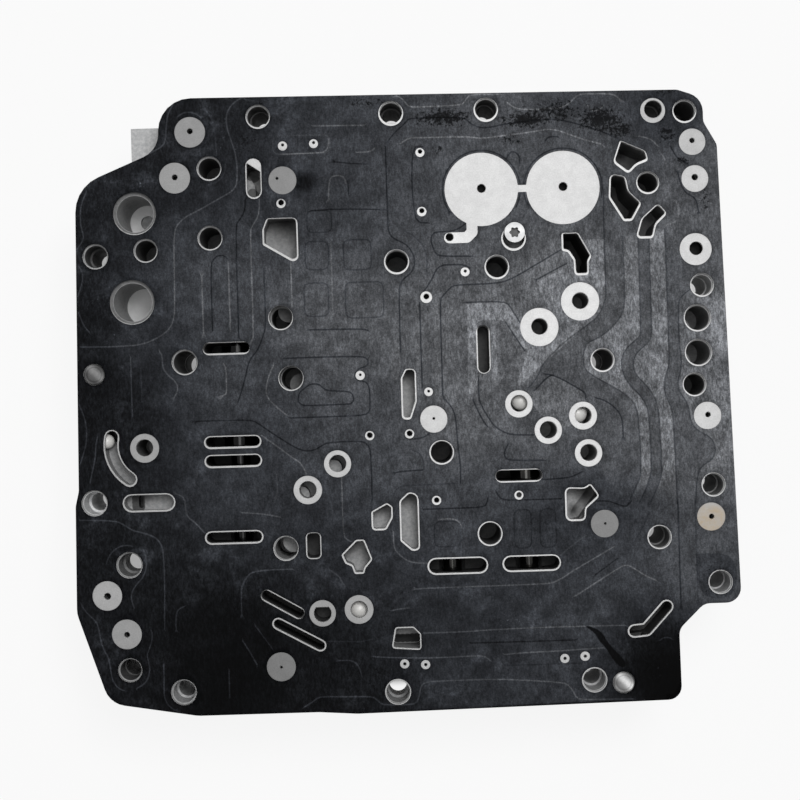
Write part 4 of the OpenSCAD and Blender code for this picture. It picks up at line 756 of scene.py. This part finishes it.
def plate_material():
    """Bare rolled steel: satin, with the finish of each disc, and a warm heat stain on one of them."""
    material, tree, out = new_material("bare_plate")
    place = add(tree, "TexCoord").outputs["Object"]
    grey = add(tree, "Attribute", attribute_name="grey").outputs["Fac"]
    cloud, grain, blotch, dents = (
        add(tree, "TexNoise", {"Vector": place, "Scale": 1 / MM / size, "Detail": detail, "Roughness": 0.6})
        for size, detail in ((3, 4), (0.5, 2), (2.5, 4), (0.5, 3)))
    cloud = add(tree, "MapRange", [cloud, 0.3, 0.7, 0.975, 1.025], **SMOOTH)
    grain = add(tree, "MapRange", [grain, 0.3, 0.7, 0.97, 1.03], **SMOOTH)
    for factor in (cloud, grain):
        grey = add(tree, "Math", [grey, factor], operation="MULTIPLY")
    bright = add(tree, "Math", [grey, GAMMA], operation="POWER")
    colour = add(tree, "CombineColor", [bright, bright, bright])
    middle = [c * MM for c in STAIN_AT]
    away = add(tree, "VectorMath", [place, middle], operation="DISTANCE").outputs["Value"]
    stain = add(tree, "MapRange", [away, STAIN_FADE[0] * MM, STAIN_FADE[1] * MM, 0.9, 0.0], **SMOOTH)
    blotch = add(tree, "MapRange", [blotch, 0.35, 0.65, 0.5, 1.0], **SMOOTH)
    stain = add(tree, "Math", [stain, blotch], operation="MULTIPLY")
    warm = add(tree, "Mix", {0: stain, 6: colour, 7: linear(STAIN)}, data_type="RGBA").outputs[2]
    bump = add(tree, "Bump", {"Strength": 0.3, "Distance": 0.02 * MM, "Height": dents})
    shader = add(tree, "BsdfPrincipled", {
        "Base Color": warm, "Metallic": 0.1, "Roughness": 0.5, "Specular IOR Level": 0.2, "Normal": bump})
    tree.links.new(shader.outputs[0], out.inputs[0])
    return material


# Round holes whose walls take a tone of their own in place of the usual painted shade: painted light above 1
# and lighter painted shade below it; place and tone.
HOLE_LIGHT_AND_SHADE = [
    (110, 39.2, 1.5), (113.5, -69, 1.4), (66.6, -103.2, 1.4), (-82.9, -103.2, 1.5), (-113.3, -33.5, 2.2),
    (-5, -105.4, 1.0), (112, -33.5, 0.7), (91.8, -52, 0.5), (-101.3, -56.4, 0.6), (108, 27.3, 0.7),
    (108, 14.7, 0.7), (-44.2, -52, 0.9)]
# Tone of painted shade in the other round holes, and in the orifices.
HOLE_SHADE = 0.3
ORIFICE_SHADE = 0.08
# Largest radius of an orifice and how far its tone reaches past it, radii of the round holes, and how close
# a listed hole's place is to its middle, in mm.
ORIFICE_R = 2.6
ORIFICE_PAST = 0.8
HOLE_R = (3.4, 4.5)
HOLE_TONE_NEAR = 2
# Slots darkened with painted shade: both ends of the middle line, radius and tone.
SHADED_SLOTS = [
    (-70, 21.4, -57, 21.4, 3, 0.12), (-71, -12.7, -54, -12.7, 3, 0.1), (-71, -19.6, -54, -19.6, 3, 0.1),
    (-71.5, -47.4, -54, -47.4, 3, 0.1), (34.5, -28.1, 48, -28.1, 3, 0.15), (9.5, -60.2, 27, -60.2, 4, 0.12),
    (36.5, -60.1, 53.5, -60.1, 4, 0.12), (29.8, 11.5, 29.8, 25, 3, 0.2), (-52, -68.8, -40, -75.8, 3, 0.12),
    (-48, -79.3, -32.5, -87.7, 3, 0.12), (82.5, -85.8, 87, -84.6, 3.4, 0.15),
    (88, -83.4, 93, -78, 3.4, 0.15), (-4.5, -87.9, 2.4, -87.9, 1.9, 0.1)]
# Other places of the casting with a tone of their own, painted shade where it is below 1 and painted light
# where above: place, radius and tone.
PAINTED_TONES = [
    (-95.6, 71.4, 8.2, 0.5), (-95.6, 71.4, 6.67, 2.6), (-97.4, 39.2, 8.6, 0.5), (-97.4, 39.2, 7.02, 2.6),
    (-96, 100, 14, 1.6), (85, 87, 8, 0.5), (82, 72, 9.5, 0.3), (92, 63, 8, 0.45), (64, 52, 9.5, 0.12),
    (-53.3, 86, 2.6, 0.3), (-53.2, 78.4, 2, 0.35), (-105.4, -7.4, 3.4, 0.15), (-98.6, -34, 2.3, 0.22),
    (-98.6, -32.6, 2.3, 0.22), (-98.6, -35.4, 2.3, 0.22), (-94.5, -14, 3.6, 0.45), (50.4, 25.7, 3.3, 0.45),
    (65.5, 34.6, 3.3, 0.55), (108.3, 52.6, 3.2, 0.12), (-31.6, -76, 4, 0.2), (-34.1, -51.3, 4.6, 0.15)]
# Soft shade on the floors of cast ports: place, radius and tone.
SHADE = [
    (-41, 69, 15, 0.08), (2.5, 13, 10, 0.08), (1.5, -31.5, 11, 0.12), (-9, -36.5, 7, 0.2),
    (-23, -51.5, 8, 0.15), (-12.5, -53, 6, 0.3), (66.5, -35.5, 7, 0.1), (62, -42, 4.5, 0.15),
    (85, 91, 7, 0.2), (95, 66, 6, 0.3), (-97, -31, 5, 0.35), (-106, -9, 9, 0.1)]
# Width of the border of a tone, in mm.
TONE_BORDER = 0.2


def shaded_and_lit_holes():
    """The plate's orifices and round holes over drillings, darkened with painted shade, and a few lightened
    with painted light: middle, radius and tone.
    """
    found = []
    for rim in rims_of("separator_plate")[1:]:
        middle = rim.mean(0)
        r = np.hypot(*(rim - middle).T)
        if r.max() < ORIFICE_R:
            found.append((*middle, r.max() + ORIFICE_PAST, ORIFICE_SHADE))
        elif HOLE_R[0] < r.min() and r.max() < HOLE_R[1]:
            own_tone = [tone for x, y, tone in HOLE_LIGHT_AND_SHADE
                     if math.hypot(x - middle[0], y - middle[1]) < HOLE_TONE_NEAR]
            found.append((*middle, r.max(), own_tone[0] if own_tone else HOLE_SHADE))
    return found


def casting_spots():
    """Every place of the casting with painted shade and painted light of its own, as spots of its metal."""
    spots = [(x, y, r, r + TONE_BORDER, tone) for x, y, r, tone in shaded_and_lit_holes() + PAINTED_TONES]
    spots += [(x, y, 0.0, r, tone) for x, y, r, tone in SHADE]
    for x0, y0, x1, y1, r, tone in SHADED_SLOTS:
        count = int(math.hypot(x1 - x0, y1 - y0) / r) + 1
        for k in range(count + 1):
            x, y = x0 + (x1 - x0) * k / count, y0 + (y1 - y0) * k / count
            spots.append((x, y, r, r + TONE_BORDER, tone))
    return spots


# Depths below the screw's top, in mm, where painted shade makes it black and where it is bright, and the tone
# of that shade.
SCREW_BLACK = 1.3
SCREW_BRIGHT = 0.3
SCREW_SHADE_TONE = 0.03


def screw_material():
    """Bright steel, with painted shade that makes it dark below the top of the head and in its socket."""
    material = metal("screw_steel", "#b8b9ba", "#cccccc", 0.1, 0.4, 2, 0.01, 0.25)
    tree = material.node_tree
    shader = next(n for n in tree.nodes if n.type == "BSDF_PRINCIPLED")
    height = add(tree, "SeparateXYZ", [add(tree, "TexCoord").outputs["Object"]]).outputs["Z"]
    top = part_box("plate_screw")[1].z
    limits = [top - SCREW_BLACK * MM, top - SCREW_BRIGHT * MM]
    tone = add(tree, "MapRange", [height, *limits, SCREW_SHADE_TONE, 1.0], **SMOOTH)
    colour = shader.inputs["Base Color"].links[0].from_socket
    dark = add(tree, "VectorMath", {0: colour, 3: tone}, operation="SCALE")
    tree.links.new(dark.outputs[0], shader.inputs["Base Color"])
    return material


# The dowels and springs

# Profile of a dowel's upper end, from the middle out: radius, and height below the top, in mm.
DOWEL_RINGS = [(0, 0.5), (1.2, 0.5), (2.4, 0.4), (2.9, 0.05), (3.35, 0.0), (3.7, 0.35)]
# The dowels: place in mm and grey.
DOWELS = [(-112, 13.3, 0.47), (77.2, -104.5, 0.8)]
DOWEL_STEPS = 48
# Painted sheen across a dowel, as a band of paler and darker grey: its middle and swing as shares of the
# grey, its angle to the mm and its start.
SHEEN = 0.8
SHEEN_SWING = 0.3
SHEEN_WAVES = 2.2 / 3
SHEEN_START = 0.9
# Points of a mesh that are closer than this are one, in mm.
MERGE = 0.005


def dowels():
    """The two locating dowels, each with a shallow dish in its end and a painted sheen across it, as of
    turned steel.
    """
    low, high = (v.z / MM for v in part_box("locating_dowels"))
    bm = bmesh.new()
    for x, y, _ in DOWELS:
        profile = DOWEL_RINGS + [(DOWEL_RINGS[-1][0], high - low)]
        verts = [bm.verts.new(Vector((x + r, y, high - below)) * MM) for r, below in profile]
        edges = [bm.edges.new(pair) for pair in zip(verts, verts[1:])]
        bmesh.ops.spin(bm, geom=verts + edges, cent=Vector((x, y, 0)) * MM, axis=(0, 0, 1), angle=2 * math.pi,
                       steps=DOWEL_STEPS, use_merge=True)
    bmesh.ops.remove_doubles(bm, verts=bm.verts, dist=MERGE * MM)
    bmesh.ops.holes_fill(bm, edges=[e for e in bm.edges if e.is_boundary])
    bmesh.ops.recalc_face_normals(bm, faces=bm.faces)
    grey = bm.verts.layers.float.new("grey")
    for vert in bm.verts:
        x, y, tone = min(DOWELS, key=lambda dowel: (vert.co.xy / MM - Vector(dowel[:2])).length)
        across = (vert.co.x + vert.co.y) / MM - x - y
        vert[grey] = tone * (SHEEN + SHEEN_SWING * math.cos(SHEEN_WAVES * across - SHEEN_START))
    mesh = bpy.data.meshes.new("dowels")
    bm.to_mesh(mesh)
    bm.free()
    made = bpy.data.objects.new("dowels", mesh)
    bpy.context.scene.collection.objects.link(made)
    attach(made, "valve_body")
    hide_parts("locating_dowels")
    return made


def springs():
    """The springs as copies of their CAD wire, each in spring steel."""
    for joint in frame["record"]["behaviour"]["joints"]:
        for row in joint["deforming_nodes"]:
            node = row["node"]
            bm = bmesh.new()
            bm.from_mesh(nodes[node].data)
            bmesh.ops.remove_doubles(bm, verts=bm.verts, dist=MERGE * MM)
            mesh = bpy.data.meshes.new(node.replace("spring", "coil"))
            bm.to_mesh(mesh)
            bm.free()
            mesh.materials.clear()
            mesh.materials.append(materials["spring_steel"])
            made = bpy.data.objects.new(mesh.name, mesh)
            bpy.context.scene.collection.objects.link(made)
            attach(made, "valve_body")
            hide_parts(node)
            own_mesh(made)


# What each slot is made of, and what that gives the eye.
materials = {
    # As-cast aluminium: dull grey with a fine grain, with painted shade that makes ports and holes dark and
    # painted light on some port floors.
    "cast_aluminium": metal("cast_aluminium", "#8a8b8c", "#a2a2a2", 0.0, 0.65, 1.2, 0.03, 0.15,
                            casting_spots()),
    # Rolled steel sheet: satin grey.
    "plate_steel": metal("plate_steel", "#a9a9aa", "#c2c2c2", 0.4, 0.42, 3, 0.01),
    "coating_rubber": coating_material(),
    # Ground steel: even and pale.
    "bright_steel": metal("bright_steel", "#acadae", "#c4c4c4", 0.1, 0.4, 2, 0.01, 0.25),
    # Phosphated steel: dark and a little rough.
    "dark_steel": metal("dark_steel", "#3c3a37", "#55524d", 0.7, 0.45, 2, 0.02),
    # Drawn wire: cool grey with a sharp sheen.
    "spring_steel": metal("spring_steel", "#74757a", "#909196", 0.8, 0.34, 2, 0.005),
    # Aluminium of the spools, made nearly black as painted shade of their deep bores, with sharp glints.
    "spool_aluminium": metal("spool_aluminium", "#252524", "#2e2d2b", 0.9, 0.12, 3, 0.001),
    # Turned aluminium: warm and pale.
    "nose_aluminium": metal("nose_aluminium", "#9f9a90", "#b9b3a7", 0.6, 0.36, 3, 0.005),
    # Zinc-plated steel: pale with a trace of yellow.
    "can_steel": metal("can_steel", "#b1aea2", "#cbc8bb", 0.75, 0.36, 6, 0.005),
    # Moulded nylon: matt black.
    "cap_plastic": plain("cap_plastic", "#1d1d1f", 0.55, 0.35),
    # Nitrile rubber: black with a soft sheen.
    "o_ring_rubber": plain("o_ring_rubber", "#141414", 0.5, 0.3),
    # Stamped brass: yellow and bright.
    "contact_brass": metal("contact_brass", "#b98f4a", "#d0a862", 0.8, 0.32, 3, 0.004),
    # Moulded thermoplastic: smooth off-white.
    "ball_plastic": plain("ball_plastic", "#dcdbd8", 0.35, 0.5),
}
for row in frame["record"]["subparts"]:
    node = nodes[row["node"]]
    node.data.materials.clear()
    node.data.materials.append(materials[row["material_slot"]])
# Pieces with a finish of their own: a clean middle plate, pistons and a spool made black as painted shade,
# and the plate's screw with painted shade.
nodes["middle_plate"].data.materials[0] = metal("clean_plate", "#e6e6e6", "#eeeeee", 0.0, 0.5, 3, 0.01, 0.2)
# Painted shade: the piston tops are made black, as they look under the orifices.
for side in ("left", "right"):
    nodes["accumulator_piston_" + side].data.materials[0] = plain("piston_painted_shade", "#121212", 0.6, 0.1)
# Painted shade: the regulator's spool is made black, as it lies in shade deep in its bore.
nodes["regulator_spool"].data.materials[0] = metal("spool_painted_shade", "#141414", "#1a1a1a", 0.9, 0.1, 3, 0.001)
nodes["plate_screw"].data.materials[0] = screw_material()
coating().data.materials.append(materials["coating_rubber"])
bare = plate_material()
plate().data.materials.append(bare)
dowels().data.materials.append(bare)
springs()

# Floor, light and camera

scene = bpy.context.scene
scene.view_settings.view_transform = "Standard"

# Strength of the light from all round.
WORLD = 0.12
# How white the floor is under the object, in its own shadow, and away from it.
UNDER = 0.3
OPEN = 0.88
FLOOR_HALF = 3.0
# The floor is this far below the object, so that the two don't meet.
FLOOR_GAP = 0.2
# Where the floor turns from one to the other: direction, and start and end of the change in mm along it.
FLOOR_EDGES = [
    (1, 0, 121, 125.5), (-1, 0, 121, 125.5), (0, 1, 112, 121), (0, -1, 108, 113),
    (1, -1, 180, 195), (-1, 1, 180, 195), (1, 1, 216, 224), (-1, -1, 216, 224)]
# Name, place, size and power of each lamp, and what they all point at.
LAMPS = [("key", (0.2, 0.34, 1.25), 0.42, 9.3), ("overhead", (-0.05, 0.02, 1.5), 0.4, 3.0),
         ("fill", (-0.7, -0.5, 0.7), 0.8, 0.8)]
AIM = Vector((0, 0, 0.05))
# The camera looks straight down from here, turned by these degrees, with this lens and sensor in mm.
EYE = (-0.0011, 0.0007, 0.7613)
TURNED = -1.75
LENS = 86.6
SENSOR = 36


def seen_directly(tree):
    """1 for rays from the camera and for those that a shiny or clear surface passes on."""
    path = add(tree, "LightPath").outputs
    shiny = add(tree, "Math", [path["Is Glossy Ray"], path["Is Transmission Ray"]], operation="MAXIMUM")
    return add(tree, "Math", [path["Is Camera Ray"], shiny], operation="MAXIMUM")


def floor_material():
    """Matt white paper: white to the eye away from the object, and shaded under it."""
    material, tree, out = new_material("floor")
    place = add(tree, "TexCoord").outputs["Object"]
    pale = add(tree, "BsdfDiffuse", {"Color": linear("#e8e8e8")})
    white = add(tree, "Emission", {"Color": (1, 1, 1, 1), "Strength": 1.0})
    glow = UNDER
    for x, y, start, end in FLOOR_EDGES:
        along = add(tree, "VectorMath", [place, (x, y, 0)], operation="DOT_PRODUCT").outputs["Value"]
        past = add(tree, "MapRange", [along, start * MM, end * MM, 0.0, OPEN], **SMOOTH)
        glow = add(tree, "Math", [past, glow], operation="MAXIMUM")
    share = add(tree, "Math", [seen_directly(tree), glow], operation="MULTIPLY")
    mix = add(tree, "MixShader", [share, pale, white])
    tree.links.new(mix.outputs[0], out.inputs[0])
    return material


def floor():
    """A large flat floor under the object."""
    bm = bmesh.new()
    bmesh.ops.create_grid(bm, x_segments=1, y_segments=1, size=FLOOR_HALF)
    mesh = bpy.data.meshes.new("floor")
    bm.to_mesh(mesh)
    bm.free()
    made = bpy.data.objects.new("floor", mesh)
    scene.collection.objects.link(made)
    made.location.z = -FLOOR_GAP * MM
    mesh.materials.append(floor_material())


def lamp(name, place, size, power):
    """A square soft lamp that points at the object."""
    data = bpy.data.lights.new(name, "AREA")
    data.size = size
    data.energy = power
    made = bpy.data.objects.new(name, data)
    made.location = place
    made.rotation_euler = (AIM - Vector(place)).to_track_quat("-Z", "Y").to_euler()
    scene.collection.objects.link(made)


def surroundings():
    """Soft light from all round, which the camera and shiny surfaces see as white."""
    world = bpy.data.worlds.new("studio")
    scene.world = world
    world.use_nodes = True
    tree = world.node_tree
    tree.nodes.clear()
    soft, white = (add(tree, "Background", {"Color": (1, 1, 1, 1), "Strength": s}) for s in (WORLD, 1.0))
    mix = add(tree, "MixShader", [seen_directly(tree), soft, white])
    out = add(tree, "OutputWorld")
    tree.links.new(mix.outputs[0], out.inputs[0])


floor()
surroundings()
for row in LAMPS:
    lamp(*row)

camera = bpy.data.cameras.new("camera")
camera.sensor_width = SENSOR
camera.lens = LENS
camera.clip_start = 0.05
camera.clip_end = 20
eye = bpy.data.objects.new("camera", camera)
eye.location = EYE
eye.rotation_euler = (0, 0, math.radians(TURNED))
scene.collection.objects.link(eye)
scene.camera = eye
